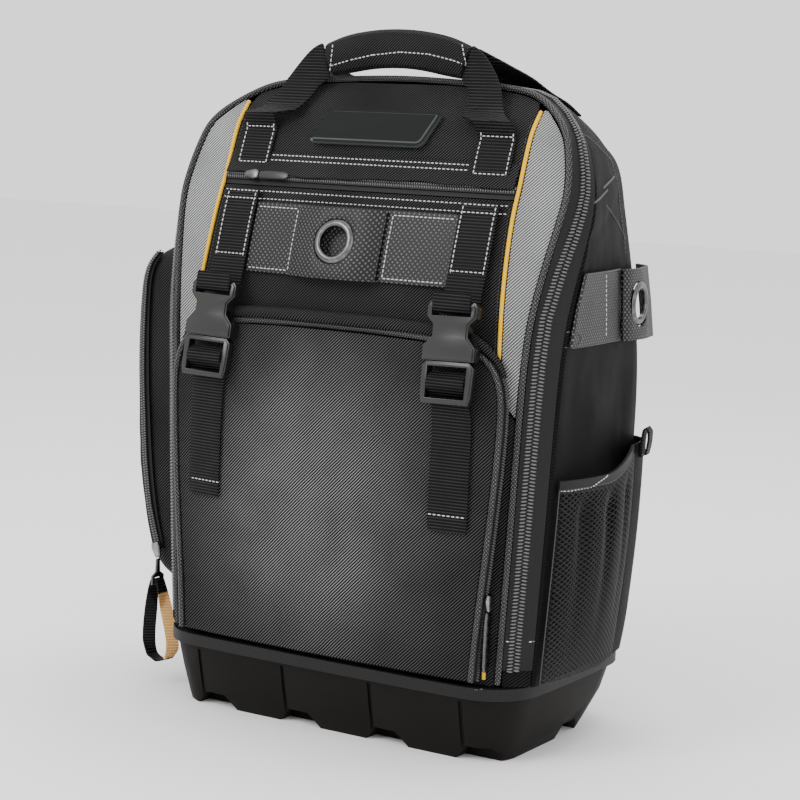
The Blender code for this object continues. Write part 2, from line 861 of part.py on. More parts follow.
def upper_zip(group, finish):
    """The short zip across the front: a tape with a raised coil, between the two panels."""
    half = PIPING_X - PIPING_RADIUS - GAP
    sections = []
    for index in range(11):
        x = half * (2 * index / 10 - 1)
        section = []
        for high, rise in ((-1, 0), (-0.5, 0), (-0.4, 1), (0.4, 1), (0.5, 0), (1, 0), (1, -1), (-1, -1)):
            z = ZIP_Z + high * (ZIP_HALF - GAP)
            lift = COIL_HEIGHT * rise if rise > 0 else BAND_THICK * rise
            section.append(Vector((x, front_y(x, z) - lift, z)))
        sections.append(section)
    return loft("upper_zip", sections, group, finish)


def surface_matrix(x, z, rise, surface=front_y, twist=0.0):
    """A frame on a front surface: X across, Y up the surface, Z out of it."""
    step = 0.004
    here = Vector((x, surface(x, z), z))
    up = Vector((x, surface(x, z + step), z + step)) - Vector((x, surface(x, z - step), z - step))
    across = Vector((x + step, surface(x + step, z), z)) - Vector((x - step, surface(x - step, z), z))
    across.normalize()
    out = across.cross(up).normalized()
    up = out.cross(across).normalized()
    matrix = Matrix((across, up, out)).transposed().to_4x4()
    matrix.translation = here + out * rise
    return matrix @ Matrix.Rotation(twist, 4, "Z")


def badge(group, finish):
    """A slanted rounded plate with a raised rim round a bare field."""
    half_x = BADGE_WIDTH / 2
    half_y = BADGE_HEIGHT / 2
    radius = 0.005
    outline = []
    for x, y, start in ((half_x, half_y, 0), (-half_x, half_y, 90), (-half_x, -half_y, 180), (half_x, -half_y, 270)):
        for step in range(4):
            angle = math.radians(start + 30 * step)
            px = x - math.copysign(radius, x) + radius * math.cos(angle)
            py = y - math.copysign(radius, y) + radius * math.sin(angle)
            outline.append(Vector((px + BADGE_SLANT * py / BADGE_HEIGHT, py, 0)))
    mesh = bpy.data.meshes.new("badge")
    shape = bmesh.new()
    face = shape.faces.new([shape.verts.new(point) for point in outline])
    shape.normal_update()
    if face.normal.z > 0:
        face.normal_flip()
    raised = bmesh.ops.extrude_face_region(shape, geom=[face])
    top = [item for item in raised["geom"] if isinstance(item, bmesh.types.BMFace)][0]
    bmesh.ops.translate(shape, vec=(0, 0, BADGE_THICK), verts=top.verts)
    shape.normal_update()
    bmesh.ops.inset_region(shape, faces=[top], thickness=BADGE_RIM, use_even_offset=True)
    bmesh.ops.inset_region(shape, faces=[top], thickness=0.0008, depth=-0.0010, use_even_offset=True)
    bmesh.ops.recalc_face_normals(shape, faces=shape.faces)
    shape.to_mesh(mesh)
    shape.free()
    piece = keep("badge", mesh, group, finish)
    piece.matrix_world = surface_matrix(0.0, TOP_Z - BADGE_DROP, BADGE_SEAT)
    return piece


def disc_ring(name, outer, inner, thick, group, finish, matrix, segments=20):
    """An eyelet: a turned ring with a rounded lip."""
    mesh = bpy.data.meshes.new(name)
    shape = bmesh.new()
    profile = ((outer, thick * 0.35), (outer - 0.0015, thick * 0.5), (inner + 0.0012, thick * 0.5),
               (inner, thick * 0.2), (inner, -thick * 0.5), (outer - 0.001, -thick * 0.5), (outer, -thick * 0.2))
    verts = [shape.verts.new((x, 0, z)) for x, z in reversed(profile)]
    for index, vert in enumerate(verts):
        shape.edges.new((vert, verts[(index + 1) % len(verts)]))
    shape.to_mesh(mesh)
    shape.free()
    piece = keep(name, mesh, group, finish)
    piece.matrix_world = matrix
    turn = piece.modifiers.new("turn", "SCREW")
    turn.steps = segments
    turn.render_steps = segments
    turn.use_merge_vertices = True
    turn.merge_threshold = 0.0001
    return piece


def front_band(group, tools, webbing, metal):
    """Tool webbing between the straps, with a raised loop that an eyelet goes through."""
    half = STRAP_X - WEB_WIDTH / 2 - SEAT
    low = BAND_Z - BAND_HEIGHT / 2
    high = BAND_Z + BAND_HEIGHT / 2
    front_strip("front_band", low, high, half, SEAT + TOOL_WEB, TOOL_WEB, group, webbing)
    rows = []
    columns = 12
    for z in levels(low, high, 0.019):
        row = []
        for column in range(columns + 1):
            share = 2 * column / columns - 1
            x = LOOP_X + share * LOOP_WIDTH / 2
            rise = LOOP_RISE * min(1.0, 1.9 * (1 - abs(share)))
            row.append(Vector((x, front_y(x, z) - 2 * (SEAT + TOOL_WEB) - rise, z)))
        rows.append(row)
    loop = sheet("front_loop", rows, TOOL_WEB, group, webbing)
    seat = 2 * (SEAT + TOOL_WEB) + LOOP_RISE - TOOL_WEB / 2
    spot = surface_matrix(LOOP_X + 0.001, BAND_Z - 0.002, seat)
    cut(loop, [eyelet_hole("front_eyelet_hole", tools, spot, webbing)])
    disc_ring("front_eyelet", EYELET_OUTER, EYELET_INNER, EYELET_THICK, group, metal, spot)


def eyelet_hole(name, tools, matrix, finish):
    """The round hole that an eyelet sits in, with the clearance round it."""
    radius = EYELET_OUTER + SEAT
    ring = [Vector((radius * math.cos(turn), radius * math.sin(turn), 0))
            for turn in (math.radians(15 * step) for step in range(24))]
    ends = [[matrix @ (point + Vector((0, 0, depth))) for point in ring] for depth in (-0.006, 0.006)]
    hole = loft(name, ends, tools, finish)
    hole.hide_render = True
    hole.display_type = "WIRE"
    return hole


# Straps and buckles


def across(surface, x, z, half):
    """Half the width of webbing that lies on a surface, tilted as the surface is."""
    tilt = (surface(x + half, z) - surface(x - half, z)) / 2
    return Vector((half, tilt, 0))


def buckle_matrix(side):
    """The frame of a buckle: X across, Y up along it, Z out, at its lower end."""
    inner = STRAP_X - BUCKLE_WIDTH / 2
    low_y = pocket_y(inner, BUCKLE_LOW_Z) - PLUG_DEPTH / 2 - WEB - 3 * SEAT
    low = Vector((side * (STRAP_X + 0.002), low_y, BUCKLE_LOW_Z))
    edge_y = pocket_y(inner, POCKET_TOP_Z) - POCKET_WELT_RADIUS - SEAT - BUCKLE_DEPTH / 2
    lean = (edge_y - low_y) / (POCKET_TOP_Z - BUCKLE_LOW_Z)
    top = Vector((side * STRAP_X, low_y + lean * (BUCKLE_TOP_Z - BUCKLE_LOW_Z), BUCKLE_TOP_Z))
    up = (top - low).normalized()
    across = Vector((1, 0, 0))
    out = across.cross(up).normalized()
    across = up.cross(out).normalized()
    matrix = Matrix((across, up, out)).transposed().to_4x4()
    matrix.translation = low
    return matrix, (top - low).length


def outline_plate(name, outline, thick, group, finish, bevel, matrix):
    """A moulded plate: an outline given its thickness both ways, with rounded edges."""
    mesh = bpy.data.meshes.new(name)
    shape = bmesh.new()
    face = shape.faces.new([shape.verts.new((x, y, -thick / 2)) for x, y in outline])
    raised = bmesh.ops.extrude_face_region(shape, geom=[face])
    verts = [item for item in raised["geom"] if isinstance(item, bmesh.types.BMVert)]
    bmesh.ops.translate(shape, vec=(0, 0, thick), verts=verts)
    bmesh.ops.recalc_face_normals(shape, faces=shape.faces)
    if bevel:
        flat = [edge for edge in shape.edges if abs(edge.verts[0].co.z - edge.verts[1].co.z) < 1e-6]
        bmesh.ops.bevel(shape, geom=flat, offset=bevel, segments=2, affect="EDGES", clamp_overlap=True)
    shape.to_mesh(mesh)
    shape.free()
    piece = keep(name, mesh, group, finish)
    piece.matrix_world = matrix
    return piece


def mirrored(points):
    """A left half outline, from top to bottom, closed with its mirror image."""
    return [(-x, y) for x, y in points] + [(x, y) for x, y in reversed(points)]


def buckle(side, group, tools, finish):
    word = "left" if side < 0 else "right"
    matrix, length = buckle_matrix(side)
    half = BUCKLE_WIDTH / 2
    parting = length * (1 - SOCKET_SHARE)
    waist = half - SOCKET_WAIST
    rise = length - parting
    outline = mirrored([
        (half * 0.86, length), (half * 0.95, length - 0.003), (half * 0.95, length - 0.011),
        (waist, length - 0.017), (waist, parting + rise * 0.42), (half, parting + rise * 0.24),
        (half, parting + GAP)])
    socket = outline_plate(f"socket_{word}", outline, BUCKLE_DEPTH, group, finish, 0.0012, matrix)
    room = rise - 0.020
    inner = (BUCKLE_WIDTH - 2 * BUCKLE_WALL, room, BUCKLE_DEPTH - 2 * BUCKLE_WALL)
    spot = (0, parting + inner[1] / 2 - 0.002, 0)
    slot = (WEB_WIDTH + 0.0015, 0.0065, BUCKLE_DEPTH + 0.004)
    slot_spot = (0, length - BAR_THICK - slot[1] / 2, 0)
    cut(socket, [
        cutter(f"socket_room_{word}", box_mesh(f"socket_room_{word}", inner, spot), tools, matrix),
        cutter(f"socket_slot_{word}", box_mesh(f"socket_slot_{word}", slot, slot_spot), tools, matrix)])
    frame = mirrored([
        (half - 0.004, parting - GAP), (half, parting - 0.004), (half * 0.97, 0.006),
        (half * 0.90, 0.0)])
    plug = outline_plate(f"plug_{word}", frame, PLUG_DEPTH, group, finish, 0.0010, matrix)
    window = (parting - 3 * BAR_THICK) / 2
    tongue = (BUCKLE_WIDTH * 0.34, room - 0.003, 0.0042)
    tongue_spot = (0, parting + tongue[1] / 2 - 0.0015, 0)
    join = cutter(f"plug_tongue_{word}", box_mesh(f"plug_tongue_{word}", tongue, tongue_spot, 0.0006), tools, matrix)
    cut(plug, [join], "UNION")
    for index in range(2):
        size = (WEB_WIDTH + 0.0015, window, BUCKLE_DEPTH + 0.004)
        place = (0, BAR_THICK + window / 2 + index * (window + BAR_THICK), 0)
        name = f"plug_window_{word}_{index}"
        cut(plug, [cutter(name, box_mesh(name, size, place), tools, matrix)])
    return matrix, length


def strap(side, group, finish, matrix, length):
    """Sewn webbing from the short zip down to the buckle, looped round the buckle's top bar."""
    word = "left" if side < 0 else "right"
    stations = []
    lift = 2 * SEAT + TOOL_WEB + WEB / 2
    x = side * STRAP_X
    for z in reversed(edge_levels(BUCKLE_TOP_Z + 0.022, STRAP_TOP_Z)):
        stations.append((Vector((x, front_y(x, z) - lift, z)), across(front_y, x, z, WEB_WIDTH / 2)))
    bar_y = length - BAR_THICK / 2
    corner = BAR_THICK / 2 + WEB * 0.4
    turn = BAR_THICK / 2 + WEB * 2
    deep = BUCKLE_DEPTH / 2 + WEB / 2 + SEAT
    wide = matrix.to_3x3() @ Vector((WEB_WIDTH / 2, 0, 0))
    loop = ((bar_y + 0.009, -deep), (bar_y - corner, -deep), (bar_y - turn, -deep * 0.45),
            (bar_y - turn, deep * 0.45), (bar_y - corner, deep), (bar_y + 0.009, deep))
    for y, z in loop:
        stations.append((matrix @ Vector((0, y, z)), wide))
    return web(f"strap_{word}", stations, group, finish)


def tail(side, group, finish, matrix, length):
    """The free end of the lower webbing: woven through the plug's bars, then hanging on the pocket."""
    word = "left" if side < 0 else "right"
    parting = length * (1 - SOCKET_SHARE)
    window = (parting - 3 * BAR_THICK) / 2
    deep = PLUG_DEPTH / 2 + WEB / 2 + SEAT
    wide = matrix.to_3x3() @ Vector((WEB_WIDTH / 2, 0, 0))
    bar = BAR_THICK + window + BAR_THICK / 2
    edge = BAR_THICK / 2 + WEB * 0.3
    route = ((bar + BAR_THICK / 2 + window * 0.55, 0), (bar + edge, deep), (bar - edge, deep),
             (BAR_THICK + window * 0.5, 0), (BAR_THICK + WEB * 0.3, -deep), (-WEB * 0.3, -deep))
    stations = [(matrix @ Vector((0, y, z)), wide) for y, z in route]
    x = side * (STRAP_X + 0.004)
    start = stations[-1][0].z - 0.010
    for z in reversed(levels(TAIL_LOW_Z, start, 0.020)):
        point = Vector((x, pocket_y(x, z) - SEAT - WEB / 2, z))
        stations.append((point, across(pocket_y, x, z, WEB_WIDTH / 2)))
    return web(f"tail_{word}", stations, group, finish)


# Front pocket


def pocket_places():
    return outline_path(rows=len(POCKET_OUTLINE) - 1)


def front_pocket(group, finish):
    """The pocket's domed face, a cloth wall that is open towards the pack."""
    edge = [pocket_edge(place, side) for place, side in pocket_places()]
    rows = []
    for z, half in inner_run(edge, POCKET_WELT_RADIUS + SEAT):
        if half > 0.020:
            xs = [half * share for share in (-1, -0.93, -0.82, -0.60, -0.30, 0, 0.30, 0.60, 0.82, 0.93, 1)]
            rows.append([Vector((x, pocket_y(x, z), z)) for x in xs])
    return sheet("front_pocket", rows, CLOTH, group, finish)


def pocket_gusset(group, finish):
    """The zipped side wall of the pocket, from its welt back to the front of the pack."""
    edge = [pocket_edge(place, side) for place, side in pocket_places()]
    sections = []
    for index, point in enumerate(edge):
        away = outward(edge, index)
        start = point + Vector((0, POCKET_WELT_RADIUS + GAP, 0))
        back = front_y(point.x, point.z) - SEAT
        depth = back - start.y
        section = []
        for share, rise in ((0, 0), (0.3, 0), (0.38, 1), (0.72, 1), (0.8, 0), (1, 0), (1, -1), (0, -1)):
            lift = COIL_HEIGHT * rise if rise > 0 else BAND_THICK * rise
            section.append(start + Vector((0, depth * share, 0)) + away * lift)
        sections.append(section)
    return loft("pocket_zip", sections, group, finish)


def pocket_welt(group, finish):
    points = [pocket_edge(place, side) for place, side in pocket_places()]
    return cord("pocket_welt", points, POCKET_WELT_RADIUS, group, finish)


# Side pocket


def side_outline(inset):
    """The side pocket's outline in the plane of the side wall, as depth and height."""
    low = SIDE_LOW_Z + inset
    top = SIDE_TOP_Z - inset
    front = SIDE_FRONT_Y + inset
    rear = SIDE_REAR_Y - inset
    radius = SIDE_CORNER * 1.3 - inset * 0.5
    points = []
    corners = ((rear, top, 0), (front, top, 90), (front, low, 180), (rear, low, 270))
    for y, z, start in corners:
        middle_y = y - radius if y > 0 else y + radius
        middle_z = z - radius if z > SIDE_TOP_Z * 0.5 else z + radius
        for step in range(5):
            angle = math.radians(start + 22.5 * step)
            points.append((middle_y + radius * math.cos(angle), middle_z + radius * math.sin(angle)))
        if start in (90, 270):
            ends = (points[-1], None)
            other = top if start == 270 else low
            other_z = other - radius if start == 270 else other + radius
            for step in range(1, 6):
                z_here = ends[0][1] + (other_z - ends[0][1]) * step / 6
                points.append((y, z_here))
    return points


def side_pocket_point(y, z, out):
    """A point on the side pocket, at a share of the way out from the side wall."""
    share = (z - SIDE_LOW_Z) / (SIDE_TOP_Z - SIDE_LOW_Z)
    depth = smooth(SIDE_PROFILE, place_at(SIDE_PROFILE, min(max(share, 0.0), 1.0)))[1] * SIDE_DEPTH
    return Vector((-side_x(y, z) - SEAT - depth * out, y, z))


def side_pocket(group, finish):
    """The deep pocket on the left: a closed front, rear, top and outer face, open to the pack."""
    outer = side_outline(0.0)
    rings = []
    for out, inset in SIDE_SECTION:
        rings.append([side_pocket_point(y, z, out) for y, z in side_outline(inset)])
    rows = []
    for index in range(len(outer) + 1):
        rows.append([ring[index % len(outer)] for ring in rings])
    middle = Vector((-0.19, 0.0, (SIDE_TOP_Z + SIDE_LOW_Z) / 2))
    return sheet("side_pocket", rows, CLOTH, group, finish, away_from=middle, cap=True)


def side_front_point(place, out, lift):
    """A point on the side pocket's front: place counted along its outline, out from the pack."""
    low = int(place)
    for inner, outer in zip(SIDE_SECTION, SIDE_SECTION[1:]):
        if out <= outer.out:
            break
    spots = []
    for section in (inner, outer):
        outline = side_outline(section.inset)
        spot = Vector((0, *outline[low])).lerp(Vector((0, *outline[low + 1])), place - low)
        spots.append(side_pocket_point(spot.y, spot.z, section.out))
    outline = side_outline(0.0)
    run = Vector((0, *outline[low + 1])) - Vector((0, *outline[low]))
    facing = Vector((0, run.z, -run.y)).normalized()
    return spots[0].lerp(spots[1], (out - inner.out) / (outer.out - inner.out)) + facing * lift


def side_zip(group, finish):
    """The side pocket's zip: a tape with a raised coil, down the pocket's front near its outer edge."""
    sections = []
    for track in SIDE_TRACK:
        section = []
        for wide, rise in ((-1, 0), (-0.45, 0), (-0.30, 1), (0.30, 1), (0.45, 0), (1, 0), (1, -1), (-1, -1)):
            lift = 2 * SEAT + BAND_THICK + (COIL_HEIGHT if rise > 0 else BAND_THICK) * rise
            section.append(side_front_point(track.place, track.out + wide * SIDE_TAPE, lift))
        sections.append(section)
    return loft("side_pocket_zip", sections, group, finish)


def side_hardware(group, tools, metal, webbing):
    """The slider at the foot of the side zip, its ring pull, and the webbing loop through the ring."""
    lift = BAND_THICK + COIL_HEIGHT + 3 * SEAT + SLIDER_THICK / 2
    spot = side_front_point(SIDE_TRACK[-1].place, SIDE_TRACK[-1].out, lift)
    before = side_front_point(SIDE_TRACK[-2].place, SIDE_TRACK[-2].out, lift)
    up = (before - spot).normalized()
    out = Vector((-1, 0, 0)).cross(up)
    out = (out if out.y < 0 else -out).normalized()
    matrix = Matrix((up.cross(out), up, out)).transposed().to_4x4()
    matrix.translation = spot
    slider("side_slider", matrix, group, metal)
    hang = spot - up * (SLIDER_LENGTH / 2 + HINGE_GAP + 0.0020) + Vector((0, -0.0015, 0))
    frame = Matrix(((0, -1, 0), (0, 0, 1), (-1, 0, 0))).transposed().to_4x4()
    frame.translation = hang
    half = SIDE_LOOP_WEB / 2 + SEAT + SIDE_RING_WIRE
    foot = -SIDE_PULL_LENGTH
    outline = mirrored([(0.0020, 0.0018), (0.0026, foot * 0.45), (half, foot * 0.62), (half, foot)])
    piece = outline_plate("side_pull", outline, PULL_THICK, group, metal, 0.0004, frame)
    room = (SIDE_LOOP_WEB + 2 * SEAT, SIDE_RING_ROOM, PULL_THICK + 0.002)
    place = (0, foot + SIDE_RING_WIRE + SIDE_RING_ROOM / 2, 0)
    cut(piece, [cutter("side_ring_room", box_mesh("side_ring_room", room, place), tools, frame)])
    low = hang + Vector((0, 0, place[1] + 0.0004))
    stations = []
    widest = max(loop.across for loop in SIDE_LOOP) * SIDE_LOOP_WIDTH
    lean = -(BASE_HALF_WIDTH + SIDE_LOOP_CLEAR + widest) - low.x
    for across, rise in SIDE_LOOP:
        aside = across * SIDE_LOOP_WIDTH + lean * (1 - rise)
        point = low + Vector((aside, 0, (rise - 1) * SIDE_LOOP_LENGTH))
        turn = math.radians(SIDE_LOOP_TURN) * math.sin(math.pi * min(max((rise - 0.03) / 0.85, 0.0), 1.0)) ** 0.7
        stations.append((point, Vector((math.sin(turn), math.cos(turn), 0)) * SIDE_LOOP_WEB / 2))
    stations.append(stations[0])
    centre = low + Vector((0, 0, -SIDE_LOOP_LENGTH / 2))
    web("side_loop", stations, group, webbing, away_from=centre)


# Net pocket


def net_point(run, rise, lift=0.0):
    """A point of the net pocket: run from front to rear, rise from the hem to the binding."""
    y = NET_FRONT_Y + (NET_REAR_Y - NET_FRONT_Y) * run
    top = NET_TOP_Z + NET_REAR_LIFT * max(0.0, (run - 0.50) / 0.50) ** 1.5
    z = RIM_Z + 0.003 + (top - RIM_Z - 0.003) * rise
    dome = math.sin(math.pi * (0.01 + 0.80 * run)) ** 0.7 * (0.35 + 0.65 * math.sin(math.pi * (0.12 + 0.60 * rise)))
    swell = NET_BULGE * dome
    gather = rise ** 1.5 * min(max((0.94 - rise) / 0.12, 0.0), 1.0)
    for fold in NET_FOLDS:
        near = math.exp(-((run - fold.place) / fold.spread) ** 2)
        swell -= NET_BULGE * fold.depth * near * gather
    return Vector((side_x(y, z) + SEAT + NET_THICK + swell + lift, y, z))


def net(group, finish):
    """The net, cut through in a staggered pattern of gaps."""
    rows = []
    for row in range(NET_ROWS + 1):
        rise = row / NET_ROWS * 0.93
        rows.append([net_point(column / NET_COLUMNS, rise) for column in range(NET_COLUMNS + 1)])

    def gap_here(row, column):
        inside = 0 < row < NET_ROWS - 1 and 0 < column < NET_COLUMNS - 1
        return inside and row % 2 == 1 and (column + row // 2) % 2 == 0

    return sheet("mesh_net", rows, NET_THICK, group, finish, away_from=Vector((0, 0, 0.15)), holes=gap_here)


def net_trim(group, finish):
    rows = []
    for rise in (0.935, 0.97, 1.0):
        rows.append([net_point(column / 20, rise, 0.0006) for column in range(21)])
    sheet("mesh_binding", rows, CLOTH, group, finish, away_from=Vector((0, 0, 0.15)))
    rows = []
    y_start = NET_REAR_Y + 0.0008
    for index in range(9):
        edge = net_point(1.0, index / 8)
        swell = (edge.x - side_x(edge.y, edge.z) - SEAT - NET_THICK) * (0.5 if index == 0 else 1.0)
        z = edge.z if index else RIM_Z + GAP
        row = []
        for step in range(7):
            y = y_start + (REAR_REACH + REAR_CORNER * 0.80 - y_start) * step / 6
            rise = CLOTH + SEAT + swell * math.cos(math.radians(90 * step / 6)) ** 0.6
            row.append(Vector((side_x(y, z) + rise, y, z)))
        rows.append(row)
    sheet("mesh_gusset", rows, CLOTH, group, finish, away_from=Vector((0, 0, 0.15)))
    top = rows[-1][2]
    half = (rows[-1][3] - rows[-1][1]).normalized() * 0.007
    outer = Vector((half.y, -half.x, 0)).normalized()
    climb = ((0.0013, -0.012), (0.0013, 0.002), (0.0024, 0.010), (0.0046, 0.0120), (0.0068, 0.009), (0.0070, 0.000),
             (0.0048, -0.010))
    stations = [(top + outer * away + Vector((0, 0, z)), half) for away, z in climb]
    web("mesh_loop", stations, group, finish, away_from=Vector((0, 0, 0.15)))


# Side tool webbing


def side_webbing(group, tools, webbing, metal):
    low = SIDE_BAND_Z - SIDE_BAND_HEIGHT / 2
    high = SIDE_BAND_Z + SIDE_BAND_HEIGHT / 2
    heights = levels(low, high, 0.028)
    rows = []
    for z in heights:
        front = wall_start(z)[1] + 0.0015
        row = []
        for step in range(9):
            y = front + (SIDE_BAND_SEAM_Y + 0.006 - front) * step / 8
            row.append(Vector((side_x(y, z) + 2 * SEAT + TOOL_WEB, y, z)))
        rows.append(row)
    sheet("side_band", rows, TOOL_WEB, group, webbing)
    rear = REAR_REACH + REAR_CORNER * 0.90
    rows = []
    for z in heights:
        row = []
        for step in range(13):
            share = step / 12
            y = SIDE_BAND_SEAM_Y + (rear - SIDE_BAND_SEAM_Y) * share
            rise = HOOP_RISE * math.sin(math.pi * min(share * 1.05, 1.0)) ** 0.7
            lift = 3 * SEAT + 2 * TOOL_WEB + rise
            lift += HOOP_RISE * 0.4 * max(0.0, share - 0.7) / 0.3
            row.append(Vector((side_x(y, z) + lift, y + 0.012 * max(0.0, share - 0.6), z)))
        rows.append(row)
    hoop = sheet("side_hoop", rows, TOOL_WEB, group, webbing)
    run = rows[1][5] - rows[1][3]
    spot_point = rows[1][4] - Vector((TOOL_WEB / 2, 0, 0))
    out = run.cross(Vector((0, 0, 1))).normalized()
    side = Vector((0, 0, 1)).cross(out).normalized()
    matrix = Matrix((side, Vector((0, 0, 1)), out)).transposed().to_4x4()
    matrix.translation = spot_point
    cut(hoop, [eyelet_hole("side_eyelet_hole", tools, matrix, webbing)])
    disc_ring("side_eyelet", EYELET_OUTER, EYELET_INNER, EYELET_THICK, group, metal, matrix)


# Handle


def grip_centre(share):
    """A point on the middle line of the grip, share from minus one to one."""
    return Vector((share * GRIP_LENGTH / 2, GRIP_Y, GRIP_Z - GRIP_SAG * share * share))


def leg_stations(end, side, table):
    """The stations of a handle's leg, counted from the end of the grip."""
    stations = []
    for leg in table:
        spot = end + Vector((side * leg.out, leg.back, leg.rise)) * WEB_WIDTH
        half = Vector((side * leg.wide_x, leg.wide_y, leg.wide_z)).normalized() * WEB_WIDTH / 2
        stations.append((spot, half))
    return stations


def handle(group, cloth, webbing):
    sections = []
    for index in range(9):
        share = 2 * index / 8 - 1
        centre = grip_centre(share)
        slope = math.atan2(-2 * GRIP_SAG * share, GRIP_LENGTH / 2)
        up = Vector((-math.sin(slope), 0, math.cos(slope)))
        ends = 1.0 if abs(share) < 0.99 else 0.86
        section = []
        for step in range(10):
            angle = math.radians(36 * step)
            height = up * math.cos(angle) * GRIP_HEIGHT / 2 * ends
            deep = Vector((0, 1, 0)) * math.sin(angle) * GRIP_THICK / 2 * ends
            section.append(centre + height + deep)
        sections.append(section)
    loft("handle_grip", sections, group, cloth, smooth_angle=60)
    for side in (-1, 1):
        word = "left" if side < 0 else "right"
        slope = math.atan2(2 * GRIP_SAG, GRIP_LENGTH / 2)
        run = Vector((side * math.cos(slope), 0, -math.sin(slope)))
        up = Vector((side * math.sin(slope), 0, math.cos(slope)))
        end = grip_centre(side) + run * (SEAT + WEB * 0.5)
        half = WEB_WIDTH / 2
        lift = SEAT + WEB / 2
        x = side * STRAP_X
        patch = []
        for z in reversed(edge_levels(PATCH_LOW_Z, PATCH_TOP_Z)):
            patch.append((Vector((x, front_y(x, z) - lift, z)), across(front_y, x, z, half) * side))
        high = patch[0][0]
        stations = [(end + Vector((0, -0.003, 0)), up * half * 0.9)]
        stations += leg_stations(end, side, FRONT_LEG)
        stations.append((high + Vector((-side * 0.002, -0.008, 0.011)), Vector((side, 0.15, 0)).normalized() * half))
        stations += patch
        web(f"handle_leg_{word}", stations, group, webbing, away_from=Vector((0, 0.05, 0.45)))
        stations = [(end + Vector((0, 0.0052, 0)), up * half * 0.8)]
        stations += leg_stations(end, side, REAR_LEG)
        web(f"handle_back_{word}", stations, group, webbing, away_from=Vector((0, 0, 0.40)))


# Zip sliders and pulls


def slider(name, matrix, group, finish):
    """A zip slider: a rounded body, narrower at its foot, with a bridge that holds the pull."""
    half = SLIDER_WIDTH / 2
    long = SLIDER_LENGTH / 2
    outline = mirrored([(half * 0.75, long), (half, long * 0.4), (half * 0.62, -long * 0.7), (half * 0.45, -long)])
    piece = outline_plate(name, outline, SLIDER_THICK, group, finish, 0.0006, matrix)
    return piece


def pull(name, matrix, length, group, finish, width=PULL_WIDTH):
    """A pull tab: a moulded bar; its origin is on its hinge axis."""
    half = width / 2
    outline = mirrored([(half * 0.70, 0.0018), (half, -0.004), (half, -length + 0.004), (half * 0.6, -length)])
    return outline_plate(name, outline, PULL_THICK, group, finish, 0.0005, matrix)


def pocket_hardware(group, metal, plastic):
    """The front pocket's slider on the right gusset, and the long tab that hangs from it."""
    edge = pocket_edge(place_at(POCKET_OUTLINE, (PULL_TOP_Z - POCKET_LOW_Z) / (POCKET_TOP_Z - POCKET_LOW_Z)), 1)
    x = edge.x + COIL_HEIGHT + SEAT + SLIDER_THICK / 2
    y = edge.y + POCKET_WELT_RADIUS + GAP + SLIDER_WIDTH / 2
    frame = Matrix(((0, 1, 0), (0, 0, 1), (1, 0, 0))).transposed().to_4x4()
    frame.translation = (x, y, PULL_TOP_Z)
    slider("pocket_slider", frame, group, metal)
    hinge = frame.copy()
    hinge.translation = (x, y, PULL_TOP_Z - SLIDER_LENGTH / 2 - HINGE_GAP - 0.0018)
    pull("pocket_pull", hinge, POCKET_PULL_LENGTH, group, plastic, PULL_WIDTH * 1.4)


def zip_hardware(group, metal, plastic):
    rise = COIL_HEIGHT + SEAT + SLIDER_THICK / 2
    along = surface_matrix(-STRAP_X + 0.004, ZIP_Z, rise, twist=-math.pi / 2)
    slider("upper_slider", along, group, metal)
    reach = SLIDER_LENGTH / 2 + HINGE_GAP + 0.0018
    hinge = surface_matrix(-STRAP_X + 0.004 + reach, ZIP_Z, rise, twist=math.pi / 2)
    pull("upper_pull", hinge, UPPER_PULL_LENGTH, group, plastic)


# Back


def back(group, cloth, webbing):
    """The plain padded back, and the plain shoulder straps that arch away from it."""
    rows = []
    for z in levels(RIM_Z + 0.030, TOP_Z - 0.070, 0.040):
        half = front_half(z)[0] * 0.62
        xs = [half * (2 * column / 6 - 1) for column in range(7)]
        low_high = min(z - RIM_Z - 0.030, TOP_Z - 0.070 - z)
        row = []
        for x in xs:
            edge = min(1.0, (half - abs(x)) / 0.015, low_high / 0.015)
            row.append(Vector((x, BACK_Y + GAP + PAD_THICK * (0.35 + 0.65 * max(edge, 0.0)), z)))
        rows.append(row)
    sheet("back_pad", rows, PAD_THICK * 0.3, group, cloth)
    for side in (-1, 1):
        word = "left" if side < 0 else "right"
        face = BACK_Y + SEAT + PAD_THICK
        stations = []
        count = 8
        for index in range(count + 1):
            share = index / count
            z = SHOULDER_TOP_Z + (SHOULDER_LOW_Z - SHOULDER_TOP_Z) * share
            x = side * (SHOULDER_X + 0.020 * math.sin(math.pi * share * 0.9))
            y = face + 0.0012 + SHOULDER_THICK / 2 + SHOULDER_ARCH * math.sin(math.pi * share * 0.62)
            half = SHOULDER_WIDTH / 2 * (1 - 0.30 * share)
            stations.append((Vector((x, y, z)), Vector((half, 0, 0))))
        rows = [[point - half, point, point + half] for point, half in stations]
        sheet(f"shoulder_strap_{word}", rows, SHOULDER_THICK, group, cloth, offset=0.0)
        start = stations[-1][0] + Vector((0, 0, -0.0008))
        end = Vector((side * (SHOULDER_X + 0.045), BACK_Y + GAP + WEB / 2, RIM_Z + 0.022))
        middle = start.lerp(end, 0.5) + Vector((0, 0.006, 0))
        half = Vector((LOWER_WEB_WIDTH / 2, 0, 0))
        web(f"lower_web_{word}", [(start, half), (start.lerp(middle, 0.5), half), (middle, half),
                                  (middle.lerp(end, 0.5), half), (end, half)], group, webbing)


